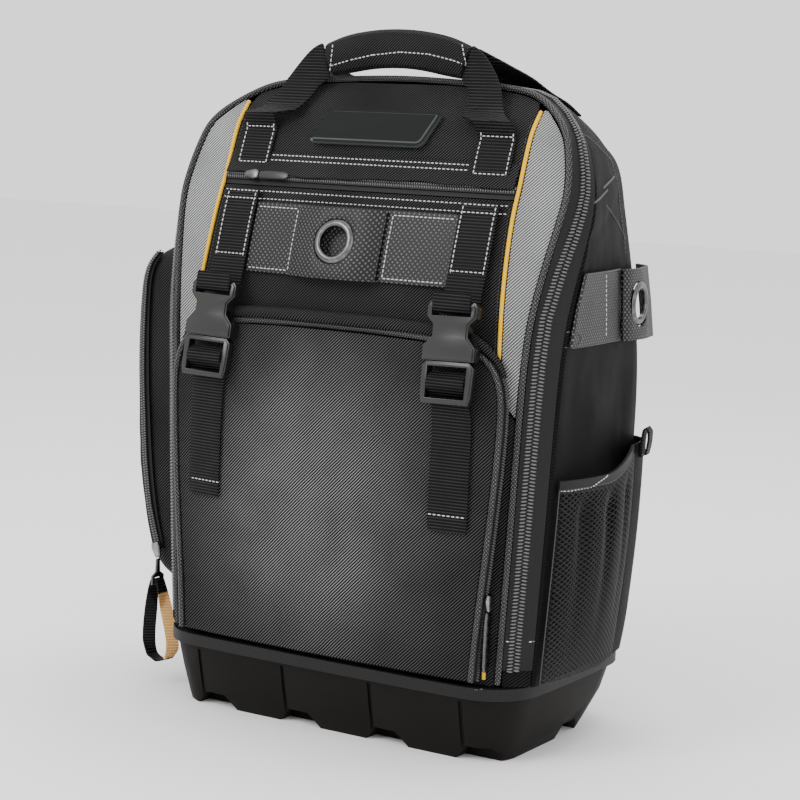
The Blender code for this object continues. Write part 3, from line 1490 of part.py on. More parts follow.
def main():
    clear_scene()
    group = collection(NAME)
    tools = collection("cutters")
    black = material("black_twill", (0.022, 0.023, 0.025), 0.75)
    silver = material("silver_twill", (0.42, 0.43, 0.43), 0.60)
    yellow = material("yellow_piping", (0.85, 0.48, 0.03), 0.55)
    grey = material("grey_cord", (0.060, 0.062, 0.065), 0.60)
    webbing = material("black_webbing", (0.020, 0.020, 0.022), 0.65)
    tape = material("zip_tape", (0.016, 0.016, 0.017), 0.55)
    moulded = material("moulded_base", (0.020, 0.016, 0.014), 0.55)
    plastic = material("buckle_plastic", (0.035, 0.040, 0.042), 0.38)
    metal = material("gunmetal", (0.20, 0.20, 0.21), 0.30, 1.0)
    rubber = material("badge_rubber", (0.10, 0.12, 0.115), 0.50)
    netting = material("black_net", (0.018, 0.018, 0.019), 0.70)

    base_tray(group, tools, moulded)
    hem(group, black)
    body(group, black)
    main_zip(group, tape)
    zip_tab("zip_tab_left", -1, group, black)
    zip_tab("zip_tab_right", 1, group, black)
    edge_welt(group, grey)
    front_panel(group, black)
    upper_panel(group, black)
    side_panel("side_panel_left", -1, group, silver)
    side_panel("side_panel_right", 1, group, silver)
    piping("piping_left", -1, group, yellow)
    piping("piping_right", 1, group, yellow)
    piping_end("piping_end_left", -1, group, yellow)
    piping_end("piping_end_right", 1, group, yellow)
    upper_zip(group, tape)
    badge(group, rubber)
    front_band(group, tools, webbing, metal)
    for side in (-1, 1):
        matrix, length = buckle(side, group, tools, plastic)
        strap(side, group, webbing, matrix, length)
        tail(side, group, webbing, matrix, length)
    front_pocket(group, black)
    pocket_gusset(group, tape)
    pocket_welt(group, grey)
    side_pocket(group, black)
    net(group, netting)
    net_trim(group, webbing)
    side_webbing(group, tools, webbing, metal)
    handle(group, black, webbing)
    zip_hardware(group, metal, plastic)
    pocket_hardware(group, metal, plastic)
    side_zip(group, tape)
    side_hardware(group, tools, metal, webbing)
    back(group, black, webbing)


main()
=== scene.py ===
import math
from collections import namedtuple
from contextlib import contextmanager

import bmesh
import bpy
import numpy as np
from mathutils import Matrix, Vector, noise
from mathutils.bvhtree import BVHTree


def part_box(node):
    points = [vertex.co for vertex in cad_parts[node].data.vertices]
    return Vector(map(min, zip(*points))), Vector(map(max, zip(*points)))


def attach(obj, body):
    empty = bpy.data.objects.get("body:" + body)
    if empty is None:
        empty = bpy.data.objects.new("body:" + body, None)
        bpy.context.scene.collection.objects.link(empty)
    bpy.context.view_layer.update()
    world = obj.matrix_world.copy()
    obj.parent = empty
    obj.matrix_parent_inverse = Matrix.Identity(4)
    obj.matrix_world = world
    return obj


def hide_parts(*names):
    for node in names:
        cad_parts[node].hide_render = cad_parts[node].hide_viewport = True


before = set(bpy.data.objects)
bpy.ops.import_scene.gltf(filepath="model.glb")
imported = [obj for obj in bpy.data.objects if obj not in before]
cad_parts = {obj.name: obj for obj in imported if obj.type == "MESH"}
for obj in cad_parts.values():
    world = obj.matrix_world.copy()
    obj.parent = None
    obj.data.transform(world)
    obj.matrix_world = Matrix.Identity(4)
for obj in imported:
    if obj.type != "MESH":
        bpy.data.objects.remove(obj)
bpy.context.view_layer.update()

# Sizes of the pack that the cloth, the zips and the stitches follow, in metres
GAP = 0.0003
SEAT = 0.0007
RIM_Z = 0.062
PANEL_HEIGHT = 0.457
PANEL_HALF_WIDTH = 0.175
FRONT_REACH = 0.1125
CROWN = 0.007
REAR_HALF_WIDTH = 0.171
REAR_REACH = 0.062
REAR_CORNER = 0.030
SIDE_BULGE = 0.003
BODY_LIP = 0.003
WELT_RADIUS = 0.0026
PIPING_RADIUS = 0.0016
BAND_WIDTH = 0.024
COIL_HEIGHT = 0.0018
PIPING_X = 0.135
ZIP_Z = 0.436
BAND_Z = 0.389
BAND_HEIGHT = 0.055
EYELET_OUTER = 0.0175
EYELET_INNER = 0.0120
STRAP_X = 0.109
POCKET_HALF_WIDTH = 0.150
POCKET_TOP_Z = 0.325
POCKET_WELT_Y = 0.1255
POCKET_WELT_RADIUS = 0.0024
SIDE_TOP_Z = 0.376
SIDE_LOW_Z = 0.082
SIDE_FRONT_Y = -0.070
SIDE_REAR_Y = 0.056
SIDE_DEPTH = 0.061
SIDE_CORNER = 0.026
NET_FRONT_Y = -0.0885
NET_REAR_Y = 0.036
NET_TOP_Z = 0.222
NET_REAR_LIFT = 0.016
NET_BULGE = 0.016
NET_THICK = 0.0012
HEM_HEIGHT = 0.010
BAND_THICK = 0.0014
TOP_Z = RIM_Z + PANEL_HEIGHT
POCKET_LOW_Z = RIM_Z + HEM_HEIGHT / 2
SILVER_LOW_Z = 0.281
PIPING_LOW_Z = 0.314
PIPING_SPREAD = 0.006

# Sizes of what is sewn on over the solids
ROLL_RADIUS = 0.0050
FLAP_LIFT = 0.0052
FLAP_WALL = 0.0012
ZIP_TAPE_WALL = 0.0013
PIPING_FOOT = 0.034
NET_COLUMNS = 19
NET_ROWS = 36
NET_CORD = 0.00125
NET_SEWN_SHARE = 0.955
STRAP_STITCHES_TOP_Z = 0.4235
STRAP_STITCHES_LOW_Z = 0.374
TAIL_STITCHES_Z = 0.1925
TAN_SIDE_X = -0.1925
TAN_LOW_Z = 0.024
TAN_TOP_Z = 0.078
BADGE_FIELD_SHARE = 0.3
FLOOR_SIZE = 16.0

Outline = namedtuple("Outline", "height width forward flare")

FRONT_OUTLINE = (
    Outline(0.000, 0.862, 0.983, 1.00),
    Outline(0.083, 0.872, 0.991, 1.00),
    Outline(0.280, 0.893, 0.998, 1.05),
    Outline(0.477, 0.910, 0.997, 1.08),
    Outline(0.620, 0.932, 0.972, 1.08),
    Outline(0.759, 0.987, 0.835, 0.85),
    Outline(0.820, 0.995, 0.735, 0.55),
    Outline(0.877, 0.967, 0.659, 0.30),
    Outline(0.923, 0.915, 0.583, 0.05),
    Outline(0.971, 0.749, 0.418, 0.00),
    Outline(0.990, 0.543, 0.380, -0.10),
    Outline(1.000, 0.000, 0.340, -0.15),
)

ROWS = len(FRONT_OUTLINE) - 1
STEPS = 2

Rear = namedtuple("Rear", "height width")

REAR_OUTLINE = (
    Rear(0.000, 0.955),
    Rear(0.083, 0.965),
    Rear(0.280, 0.990),
    Rear(0.477, 1.000),
    Rear(0.620, 0.965),
    Rear(0.745, 0.906),
    Rear(0.800, 0.877),
    Rear(0.850, 0.851),
    Rear(0.890, 0.795),
    Rear(0.925, 0.660),
    Rear(0.948, 0.440),
    Rear(0.958, 0.000),
)

Pocket = namedtuple("Pocket", "height width reach")

POCKET_OUTLINE = (
    Pocket(0.000, 0.905, 1.000),
    Pocket(0.180, 0.925, 1.000),
    Pocket(0.470, 0.970, 1.000),
    Pocket(0.740, 1.000, 0.998),
    Pocket(0.870, 0.985, 0.992),
    Pocket(0.945, 0.900, 0.984),
    Pocket(0.985, 0.720, 0.979),
    Pocket(0.998, 0.360, 0.976),
    Pocket(1.000, 0.000, 0.975),
)

Side = namedtuple("Side", "height depth")

SIDE_PROFILE = (
    Side(0.00, 0.55),
    Side(0.09, 0.74),
    Side(0.19, 0.88),
    Side(0.33, 0.97),
    Side(0.48, 1.00),
    Side(0.70, 0.985),
    Side(0.88, 0.90),
    Side(0.95, 0.80),
    Side(1.00, 0.60),
)

Section = namedtuple("Section", "out inset")

SIDE_SECTION = (
    Section(0.00, 0.000),
    Section(0.62, 0.000),
    Section(0.84, 0.003),
    Section(0.97, 0.012),
    Section(1.00, 0.030),
    Section(1.01, 0.048),
)

Track = namedtuple("Track", "place out")

SIDE_TRACK = (
    Track(7.0, 0.72),
    Track(8.0, 0.72),
    Track(9.0, 0.72),
    Track(10.0, 0.71),
    Track(11.0, 0.70),
    Track(12.0, 0.67),
    Track(13.0, 0.65),
    Track(14.0, 0.62),
    Track(14.6, 0.57),
    Track(15.0, 0.53),
)

Fold = namedtuple("Fold", "place depth spread")

NET_FOLDS = (
    Fold(0.24, 0.45, 0.06),
    Fold(0.55, 0.45, 0.06),
    Fold(0.84, 0.30, 0.05),
)


def catmull(a, b, c, d, part):
    """A smooth curve through four values, at a part of the way from the second to the third."""
    first = 2 * b
    second = (c - a) * part
    third = (2 * a - 5 * b + 4 * c - d) * part * part
    fourth = (3 * b - a - 3 * c + d) * part ** 3
    return 0.5 * (first + second + third + fourth)


def smooth(table, place):
    """Every column of a table at a place counted in rows, along a smooth curve."""
    row = min(int(place), len(table) - 2)
    rows = [table[max(row - 1, 0)], table[row], table[row + 1], table[min(row + 2, len(table) - 1)]]
    return [catmull(*column, place - row) for column in zip(*rows)]


def place_at(table, height):
    """The place in a table where its first column has a value."""
    low = 0.0
    high = len(table) - 1.0
    for _ in range(24):
        middle = (low + high) / 2
        if smooth(table, middle)[0] < height:
            low = middle
        else:
            high = middle
    return low


def outline_path(rows=ROWS, steps=STEPS):
    """Places along an outline, as place and side, up the left side and down the right one."""
    places = [index / steps for index in range(rows * steps + 1)]
    left = [(place, -1) for place in places]
    right = [(place, 1) for place in reversed(places[:-1])]
    return left + right


def outward(points, index):
    """The direction out of a closed front, seen from the front, at one point of its outline."""
    before = points[max(index - 1, 0)]
    after = points[min(index + 1, len(points) - 1)]
    run = after - before
    return Vector((-run.z, 0.0, run.x)).normalized()


def front_edge(place, side):
    """A point on the edge of the front: place counted in rows of its outline, side minus one or one."""
    height, width, forward, _ = smooth(FRONT_OUTLINE, place)
    return Vector((side * width * PANEL_HALF_WIDTH, -FRONT_REACH * forward, RIM_Z + height * PANEL_HEIGHT))


def front_half(z):
    """Half the width of the front and how far forward its edge is, at a height."""
    share = min(max((z - RIM_Z) / PANEL_HEIGHT, 0.0), 1.0)
    _, width, forward, _ = smooth(FRONT_OUTLINE, place_at(FRONT_OUTLINE, share))
    return width * PANEL_HALF_WIDTH, FRONT_REACH * forward


def front_y(x, z):
    """The outer face of the front cloth."""
    half, forward = front_half(z)
    across = min(abs(x) / max(half, 0.001), 1.0)
    fade = min(max((TOP_Z - z) / 0.050, 0.0), 1.0)
    return -forward - CROWN * (1 - across * across) * fade


def band_points():
    """Both edges of the zip band round the front: where it starts, where it ends, its normal."""
    path = outline_path()
    edge = [front_edge(place, side) for place, side in path]
    rows = []
    for index, (place, _) in enumerate(path):
        away = outward(edge, index)
        turn = smooth(FRONT_OUTLINE, place)[3] * math.sin(math.radians(45))
        run = away * turn + Vector((0, 1, 0)) * math.sqrt(1 - turn * turn)
        face = away * math.sqrt(1 - turn * turn) - Vector((0, 1, 0)) * turn
        start = edge[index] + run * (WELT_RADIUS + GAP)
        rows.append((start, start + run * BAND_WIDTH, face))
    return rows


def side_x(y, z):
    """Half the width of the body's side wall at a depth and a height."""
    share = (z - RIM_Z) / PANEL_HEIGHT
    place = place_at(FRONT_OUTLINE, share)
    _, width, forward, flare = smooth(FRONT_OUTLINE, place)
    turn = flare * math.sin(math.radians(45))
    along = WELT_RADIUS + BAND_WIDTH + 2 * GAP + BODY_LIP
    start_x = width * PANEL_HALF_WIDTH + along * turn
    start_y = -FRONT_REACH * forward + along * math.sqrt(1 - turn * turn)
    rear_x = smooth(REAR_OUTLINE, place_at(REAR_OUTLINE, share))[1] * REAR_HALF_WIDTH
    if y > REAR_REACH:
        into = min((y - REAR_REACH) / REAR_CORNER, 1.0)
        return rear_x + REAR_CORNER * (math.sqrt(1 - into * into) - 1)
    part = min(max((y - start_y) / (REAR_REACH - start_y), 0.0), 1.0)
    return start_x + (rear_x - start_x) * part + SIDE_BULGE * 4 * part * (1 - part)


def pocket_edge(place, side):
    """A point on the edge of the front pocket, counted in the same way."""
    height, width, reach = smooth(POCKET_OUTLINE, place)
    z = POCKET_LOW_Z + height * (POCKET_TOP_Z - POCKET_LOW_Z)
    return Vector((side * width * POCKET_HALF_WIDTH, -POCKET_WELT_Y * reach, z))


def side_outline(inset):
    """The side pocket's outline in the plane of the side wall, as depth and height."""
    low = SIDE_LOW_Z + inset
    top = SIDE_TOP_Z - inset
    front = SIDE_FRONT_Y + inset
    rear = SIDE_REAR_Y - inset
    radius = SIDE_CORNER * 1.3 - inset * 0.5
    points = []
    corners = ((rear, top, 0), (front, top, 90), (front, low, 180), (rear, low, 270))
    for y, z, start in corners:
        middle_y = y - radius if y > 0 else y + radius
        middle_z = z - radius if z > SIDE_TOP_Z * 0.5 else z + radius
        for step in range(5):
            angle = math.radians(start + 22.5 * step)
            points.append((middle_y + radius * math.cos(angle), middle_z + radius * math.sin(angle)))
        if start in (90, 270):
            from_z = points[-1][1]
            to_z = top - radius if start == 270 else low + radius
            points += [(y, from_z + (to_z - from_z) * step / 6) for step in range(1, 6)]
    return points


def side_pocket_point(y, z, out):
    """A point on the side pocket, at a share of the way out from the side wall."""
    share = (z - SIDE_LOW_Z) / (SIDE_TOP_Z - SIDE_LOW_Z)
    depth = smooth(SIDE_PROFILE, place_at(SIDE_PROFILE, min(max(share, 0.0), 1.0)))[1] * SIDE_DEPTH
    return Vector((-side_x(y, z) - SEAT - depth * out, y, z))


def side_front_point(place, out, lift):
    """A point on the side pocket's front: place counted along its outline, out from the pack."""
    low = int(place)
    for inner, outer in zip(SIDE_SECTION, SIDE_SECTION[1:]):
        if out <= outer.out:
            break
    spots = []
    for section in (inner, outer):
        outline = side_outline(section.inset)
        spot = Vector((0, *outline[low])).lerp(Vector((0, *outline[low + 1])), place - low)
        spots.append(side_pocket_point(spot.y, spot.z, section.out))
    outline = side_outline(0.0)
    run = Vector((0, *outline[low + 1])) - Vector((0, *outline[low]))
    facing = Vector((0, run.z, -run.y)).normalized()
    return spots[0].lerp(spots[1], (out - inner.out) / (outer.out - inner.out)) + facing * lift


def net_point(run, rise, lift=0.0):
    """A point of the net pocket: run from front to rear, rise from the hem to the binding."""
    y = NET_FRONT_Y + (NET_REAR_Y - NET_FRONT_Y) * run
    top = NET_TOP_Z + NET_REAR_LIFT * max(0.0, (run - 0.50) / 0.50) ** 1.5
    z = RIM_Z + 0.003 + (top - RIM_Z - 0.003) * rise
    across = math.sin(math.pi * (0.01 + 0.80 * run)) ** 0.7
    swell = NET_BULGE * (across * (0.35 + 0.65 * math.sin(math.pi * (0.12 + 0.60 * rise))))
    gather = rise ** 1.5 * min(max((0.94 - rise) / 0.12, 0.0), 1.0)
    for fold in NET_FOLDS:
        close = math.exp(-((run - fold.place) / fold.spread) ** 2)
        swell -= NET_BULGE * fold.depth * close * gather
    return Vector((side_x(y, z) + SEAT + NET_THICK + swell + lift, y, z))


def piping_x(z):
    """How far out the yellow piping runs: it spreads a little below the short zip."""
    share = min(max((ZIP_Z - z) / (ZIP_Z - SILVER_LOW_Z), 0.0), 1.0)
    return PIPING_X + PIPING_SPREAD * share * share * (3 - 2 * share)


# Shader arithmetic and the finishes


class Wire:
    """A socket of a shader, which takes part in arithmetic."""

    def __init__(self, finish, socket):
        self.finish = finish
        self.socket = socket

    def maths(self, operation, *others):
        node = self.finish.node("ShaderNodeMath", {"operation": operation})
        for index, value in enumerate((self, *others)):
            self.finish.feed(node.inputs[index], value)
        return Wire(self.finish, node.outputs[0])

    def __add__(self, other):
        return self.maths("ADD", other)

    def __mul__(self, other):
        return self.maths("MULTIPLY", other)

    def __sub__(self, other):
        return self.maths("SUBTRACT", other)

    def __rsub__(self, other):
        return (self * -1.0) + other

    def __pow__(self, other):
        return self.maths("POWER", other)

    __radd__ = __add__
    __rmul__ = __mul__

    def wave(self, period):
        """From nought to one and back again, once in each period."""
        return (self * (math.tau / period)).maths("SINE") * 0.5 + 0.5

    def above(self, low, high):
        """Nought below one value, one above the other, and a soft step between."""
        settings = {"interpolation_type": "SMOOTHSTEP"}
        node = self.finish.node("ShaderNodeMapRange", settings, {0: self, 1: low, 2: high, 3: 0.0, 4: 1.0})
        return Wire(self.finish, node.outputs[0])


class Finish:
    """One material of the pack, with its nodes."""

    def __init__(self, name, roughness, metallic=0.0, shine=0.5):
        self.material = bpy.data.materials.new(name)
        self.material.use_nodes = True
        self.tree = self.material.node_tree
        self.shader = self.tree.nodes["Principled BSDF"]
        self.shader.inputs["Roughness"].default_value = roughness
        self.shader.inputs["Metallic"].default_value = metallic
        self.shader.inputs["Specular IOR Level"].default_value = shine

    def feed(self, socket, value):
        if isinstance(value, Wire):
            self.tree.links.new(value.socket, socket)
        else:
            socket.default_value = value

    def node(self, kind, settings=None, inputs=None):
        made = self.tree.nodes.new(kind)
        for key, value in (settings or {}).items():
            setattr(made, key, value)
        for key, value in (inputs or {}).items():
            self.feed(made.inputs[key], value)
        return made

    def place(self, axis, source="UV"):
        """One coordinate in metres: along the cloth's own map, or in the pack's space."""
        coordinates = self.node("ShaderNodeTexCoord")
        parts = self.node("ShaderNodeSeparateXYZ", inputs={0: Wire(self, coordinates.outputs[source])})
        return Wire(self, parts.outputs[axis])

    def cloud(self, scale, detail=2.0):
        """Soft noise from nought to one."""
        place = Wire(self, self.node("ShaderNodeTexCoord").outputs["Object"])
        made = self.node("ShaderNodeTexNoise", inputs={"Vector": place, "Scale": scale, "Detail": detail})
        return Wire(self, made.outputs[0])

    def blend(self, share, first, second):
        made = self.node("ShaderNodeMix", {"data_type": "RGBA"}, {0: share, 6: first, 7: second})
        return Wire(self, made.outputs[2])

    def colour(self, value):
        self.feed(self.shader.inputs["Base Color"], value)

    def roughness(self, value):
        self.feed(self.shader.inputs["Roughness"], value)

    def bump(self, height, depth, strength=1.0):
        """Relief of a depth in metres, from a height that goes from nought to one."""
        made = self.node("ShaderNodeBump", inputs={"Height": height, "Distance": depth, "Strength": strength})
        self.feed(self.shader.inputs["Normal"], Wire(self, made.outputs[0]))


def grey(value, warm=0.0):
    return (value * (1 + warm), value, value * (1 - warm), 1.0)


def twill(name, dark, light, shine, pitch=0.0027, wear_and_painted_highlight=None):
    """Diagonal weave: bright threads that rise to the right, cut into short floats by the threads under them.
    A painted highlight makes the cloth paler about one place, given as across, up, half width and half
    height, and darker away from it."""
    roughness = 0.55
    made = Finish(name, roughness, shine=shine)
    across = made.place(0)
    up = made.place(1)
    wobble = made.cloud(70.0) * 0.0007
    rib = (across - up + wobble).wave(pitch)
    under = (across * 0.75 + up * 1.25 - wobble).wave(pitch * 0.80)
    patchy = made.cloud(24.0, 3.0)
    thread = rib.above(0.42, 0.96) * (under * 0.50 + 0.50)
    share = thread * (patchy * 0.9 + 0.45)
    # Painted highlight: threads are paler about the given place and darker away from it, standing in for
    # light on the bulge of the cloth.
    if wear_and_painted_highlight:
        aside = (across - wear_and_painted_highlight[0]) * (1 / wear_and_painted_highlight[2])
        above = (up - wear_and_painted_highlight[1]) * (1 / wear_and_painted_highlight[3])
        away = aside * aside + above * above
        share = share * (0.16 + (away * away + 1.0) ** -1.0)
    made.colour(made.blend(share, dark, light))
    made.bump(rib * (under * 0.4 + 0.6), 0.0005, 0.9)
    made.roughness(roughness - 0.08 + patchy * 0.22)
    return made.material


def ribbed(name, dark, light, shine):
    """Strap webbing: fine ribs across its run."""
    made = Finish(name, roughness=0.55, shine=shine)
    rib = made.place(1).wave(0.0024)
    yarn = (made.place(0) + rib * 0.0004).wave(0.0016)
    patchy = made.cloud(60.0, 3.0)
    lit = rib.above(0.25, 0.95) * (yarn * 0.45 + 0.55)
    made.colour(made.blend(lit * (patchy * 0.9 + 0.4), dark, light))
    made.bump(lit, 0.00045, 0.9)
    made.roughness(0.45 + patchy * 0.2)
    return made.material


def basket(name, dark, light):
    """Heavy tool webbing: staggered bright knots on dark ground."""
    made = Finish(name, roughness=0.5, shine=0.3)
    turns = math.tau / 0.0044
    weave = (made.place(0) * turns).maths("SINE") * (made.place(1) * turns).maths("SINE")
    knot = weave.above(0.12, 0.62)
    patchy = made.cloud(40.0)
    made.colour(made.blend(knot * (patchy * 0.9 + 0.45), dark, light))
    made.bump(knot, 0.0007, 0.9)
    return made.material


def cord_binding(name, dark, light):
    """Bias binding sewn round a cord: close diagonal threads."""
    made = Finish(name, roughness=0.55, shine=0.3)
    across = made.place(0)
    up = made.place(1)
    weave = (across * 1.3 + up).wave(0.0030) * (across * 1.3 - up).wave(0.0030)
    knot = weave.above(0.12, 0.7)
    made.colour(made.blend(knot * (made.cloud(30.0) * 0.8 + 0.5), dark, light))
    made.bump(knot, 0.0005, 0.8)
    return made.material


def plain_tape(name, dark, light):
    """Smooth zip tape with a fine flat weave."""
    made = Finish(name, roughness=0.55, shine=0.25)
    weave = made.place(0).wave(0.0018) * made.place(1).wave(0.0018)
    made.colour(made.blend(weave * (made.cloud(40.0) * 0.6 + 0.4), dark, light))
    made.bump(weave, 0.00015, 0.6)
    return made.material


def moulded(name, colour, roughness, grain, depth, shine):
    """Moulded plastic or rubber with a fine grain."""
    spread = 0.12
    made = Finish(name, roughness, shine=shine)
    fine = made.cloud(grain, 2.0)
    broad = made.cloud(14.0, 3.0)
    dark = tuple(part * 0.7 for part in colour[:3]) + (1.0,)
    made.colour(made.blend(broad, dark, colour))
    made.roughness(roughness - spread / 2 + broad * spread)
    made.bump(fine, depth, 0.7)
    return made.material


def plated(name, colour, roughness):
    """Polished metal with faint rubbing."""
    made = Finish(name, roughness, metallic=1.0)
    rub = made.cloud(220.0, 4.0)
    # Rubbed spots of the metal take a paler colour, which is wear.
    wear_and_painted_highlight = tuple(min(part * 1.7, 1.0) for part in colour[:3]) + (1.0,)
    made.colour(made.blend(rub.above(0.45, 0.8), colour, wear_and_painted_highlight))
    made.roughness(roughness + rub * 0.15)
    made.bump(rub, 0.00003, 0.5)
    return made.material


def thread_finish(name, colour, roughness=0.75):
    """Sewing thread with a tight twist."""
    made = Finish(name, roughness)
    twist = (made.place(0, "Object") + made.place(2, "Object") + made.place(1, "Object")).wave(0.0006)
    dark = tuple(part * 0.62 for part in colour[:3]) + (1.0,)
    made.colour(made.blend(twist, dark, colour))
    made.bump(twist, 0.0001, 0.5)
    return made.material


INK = grey(0.0014)
BLACK_TWILL = twill("black_twill_cloth", INK, grey(0.060), shine=0.05)
# Painted highlight: a paler copy of the black twill for the front pocket, with a painted highlight on its
# middle.
POCKET_TWILL_PAINTED_HIGHLIGHT = twill("pocket_twill_painted_highlight", INK, grey(0.24), shine=0.06, wear_and_painted_highlight=(-0.010, 0.190, 0.085, 0.105))
# Painted shade: a darker copy of the black twill for the back pad, the shoulder straps and the zip tabs.
SHADED_TWILL = twill("shaded_twill_cloth", INK, grey(0.022), shine=0.05)
SILVER_TWILL = twill("silver_twill_cloth", grey(0.05, -0.02), grey(0.62, -0.01), shine=0.25)
# Painted shade: the darkest copy of the black twill, for the side walls and the gusset behind the net.
SHADED_SIDE_TWILL = twill("side_twill_painted_shade", INK, grey(0.014), shine=0.05, pitch=0.0026)
WEBBING = ribbed("strap_webbing", INK, grey(0.028), shine=0.08)
GRIP_CLOTH = twill("grip_cloth", INK, grey(0.045), shine=0.06, pitch=0.0025)
TOOL_WEBBING = basket("tool_webbing", INK, grey(0.085))
BINDING = plain_tape("edge_binding", grey(0.002), grey(0.012))
CORD_BINDING = cord_binding("cord_binding", grey(0.003), grey(0.12))
TAPE = plain_tape("zip_tape_cloth", grey(0.0018), grey(0.007))
YELLOW = twill("yellow_piping_cloth", (0.85, 0.43, 0.004, 1.0), (1.0, 0.68, 0.02, 1.0),
               shine=0.3, pitch=0.0016)
COIL = moulded("zip_coil", grey(0.10), 0.30, grain=500.0, depth=0.00004, shine=0.6)
THREAD = thread_finish("white_thread", grey(0.62))
DARK_THREAD = thread_finish("dark_thread", grey(0.08))
SEAM_THREAD = thread_finish("seam_binding", grey(0.10))
NET_THREAD = thread_finish("net_thread", grey(0.022), 0.45)
BASE = moulded("moulded_base_skin", (0.0040, 0.0028, 0.0020, 1.0), 0.62,
               grain=700.0, depth=0.00020, shine=0.14)
BUCKLE = moulded("buckle_skin", grey(0.008), 0.28, grain=1200.0, depth=0.00005, shine=0.5)
BADGE = moulded("badge_skin", (0.0065, 0.0080, 0.0070, 1.0), 0.72, grain=1500.0, depth=0.00010, shine=0.15)
# Painted highlight: a paler skin for the badge's bevelled rim, where light catches the chamfer.
BADGE_RIM_HIGHLIGHT = moulded("badge_rim_painted_highlight", (0.050, 0.060, 0.054, 1.0), 0.50, grain=1500.0, depth=0.00005, shine=0.3)
METAL = plated("dark_plating", (0.10, 0.10, 0.105, 1.0), 0.20)
BRIGHT_METAL = plated("bright_plating", (0.22, 0.22, 0.23, 1.0), 0.22)
TAN = ribbed("tan_webbing", (0.50, 0.27, 0.09, 1.0), (0.85, 0.50, 0.20, 1.0), shine=0.25)


# The camera of the photograph, from which some stitches are placed

EYE = Vector((0.888, -1.4985, 0.4747))
RIGHT = Vector((0.8535, 0.5192, 0.0438)).normalized()
UP = Vector((-0.1017, 0.0835, 0.9913)).normalized()
FORWARD = Vector((-0.511, 0.8505, -0.1241)).normalized()
FOCAL = 2126.3
HALF_FRAME = 400.0


# Making pieces


def deselect():
    for item in bpy.context.selected_objects:
        item.select_set(False)


def select_only(piece):
    deselect()
    piece.select_set(True)
    bpy.context.view_layer.objects.active = piece


@contextmanager
def shaping(mesh):
    """Opens a mesh for work on its points and faces, and writes it back at the end."""
    shape = bmesh.new()
    shape.from_mesh(mesh)
    yield shape
    shape.to_mesh(mesh)
    shape.free()


def new_piece(name, mesh):
    piece = bpy.data.objects.new(name, mesh)
    bpy.context.scene.collection.objects.link(piece)
    return piece


def piece_of(name, points, faces):
    mesh = bpy.data.meshes.new(name)
    mesh.from_pydata([tuple(point) for point in points], [], faces)
    mesh.update()
    return new_piece(name, mesh)


def face_outward(piece):
    with shaping(piece.data) as shape:
        bmesh.ops.recalc_face_normals(shape, faces=shape.faces)


def take(name):
    """The new primitive, renamed, with its place put into its mesh."""
    piece = bpy.context.object
    piece.name = name
    piece.data.name = name
    bpy.ops.object.transform_apply(location=True, rotation=True, scale=True)
    return piece


def lay_map(piece):
    """A map in metres: each face is laid flat along the axis that it faces most."""
    mesh = piece.data
    layer = mesh.uv_layers.get("weave") or mesh.uv_layers.new(name="weave")
    corners = np.empty(len(mesh.loops), np.int32)
    mesh.loops.foreach_get("vertex_index", corners)
    places = np.empty(len(mesh.vertices) * 3, np.float32)
    mesh.vertices.foreach_get("co", places)
    places = places.reshape(-1, 3)[corners]
    normals = np.empty(len(mesh.polygons) * 3, np.float32)
    mesh.polygons.foreach_get("normal", normals)
    sides = np.empty(len(mesh.polygons), np.int32)
    mesh.polygons.foreach_get("loop_total", sides)
    facing = np.argmax(np.abs(normals.reshape(-1, 3)) * (1.0, 1.1, 0.8), axis=1)
    facing = np.repeat(facing, sides)
    across = np.where(facing == 0, places[:, 1], places[:, 0])
    up = np.where(facing == 2, places[:, 1], places[:, 2])
    layer.data.foreach_set("uv", np.stack((across, up), axis=1).astype(np.float32).ravel())


def settle(piece, material, replaces=(), body="pack", smooth_angle=40.0, mapped=True):
    """Gives a finished mesh its material, its map and its place in the model."""
    piece.data.materials.clear()
    piece.data.materials.append(material)
    for face in piece.data.polygons:
        face.material_index = 0
    if mapped:
        lay_map(piece)
    select_only(piece)
    bpy.ops.object.shade_smooth_by_angle(angle=math.radians(smooth_angle))
    piece.select_set(False)
    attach(piece, body)
    if replaces:
        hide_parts(*replaces)
    return piece


def use(piece, kind, **settings):
    """Adds a modifier and applies it."""
    select_only(piece)
    modifier = piece.modifiers.new(kind.lower(), kind)
    for key, value in settings.items():
        setattr(modifier, key, value)
    bpy.ops.object.modifier_apply(modifier=modifier.name)
    piece.select_set(False)


def merged_copy(node, name, flat=None):
    """A copy of a CAD node with its triangles joined again into larger faces."""
    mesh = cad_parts[node].data.copy()
    mesh.name = name
    for layer in list(mesh.uv_layers):
        mesh.uv_layers.remove(layer)
    with shaping(mesh) as shape:
        bmesh.ops.remove_doubles(shape, verts=shape.verts, dist=1e-5)
        if flat:
            bmesh.ops.dissolve_limit(shape, angle_limit=math.radians(flat),
                                     verts=shape.verts, edges=shape.edges)
        else:
            bmesh.ops.join_triangles(shape, faces=shape.faces, angle_face_threshold=math.radians(35),
                                     angle_shape_threshold=math.radians(130))
        for face in shape.faces:
            face.smooth = True
    piece = new_piece(name, mesh)
    if mesh.has_custom_normals:
        select_only(piece)
        bpy.ops.mesh.customdata_custom_splitnormals_clear()
    return piece


def crease(piece, sharp, amount):
    """Keeps the edges that turn by more than an angle from being rounded away."""
    with shaping(piece.data) as shape:
        layer = shape.edges.layers.float.get("crease_edge") or shape.edges.layers.float.new("crease_edge")
        for edge in shape.edges:
            if len(edge.link_faces) == 2 and edge.calc_face_angle(0.0) > math.radians(sharp):
                edge[layer] = amount


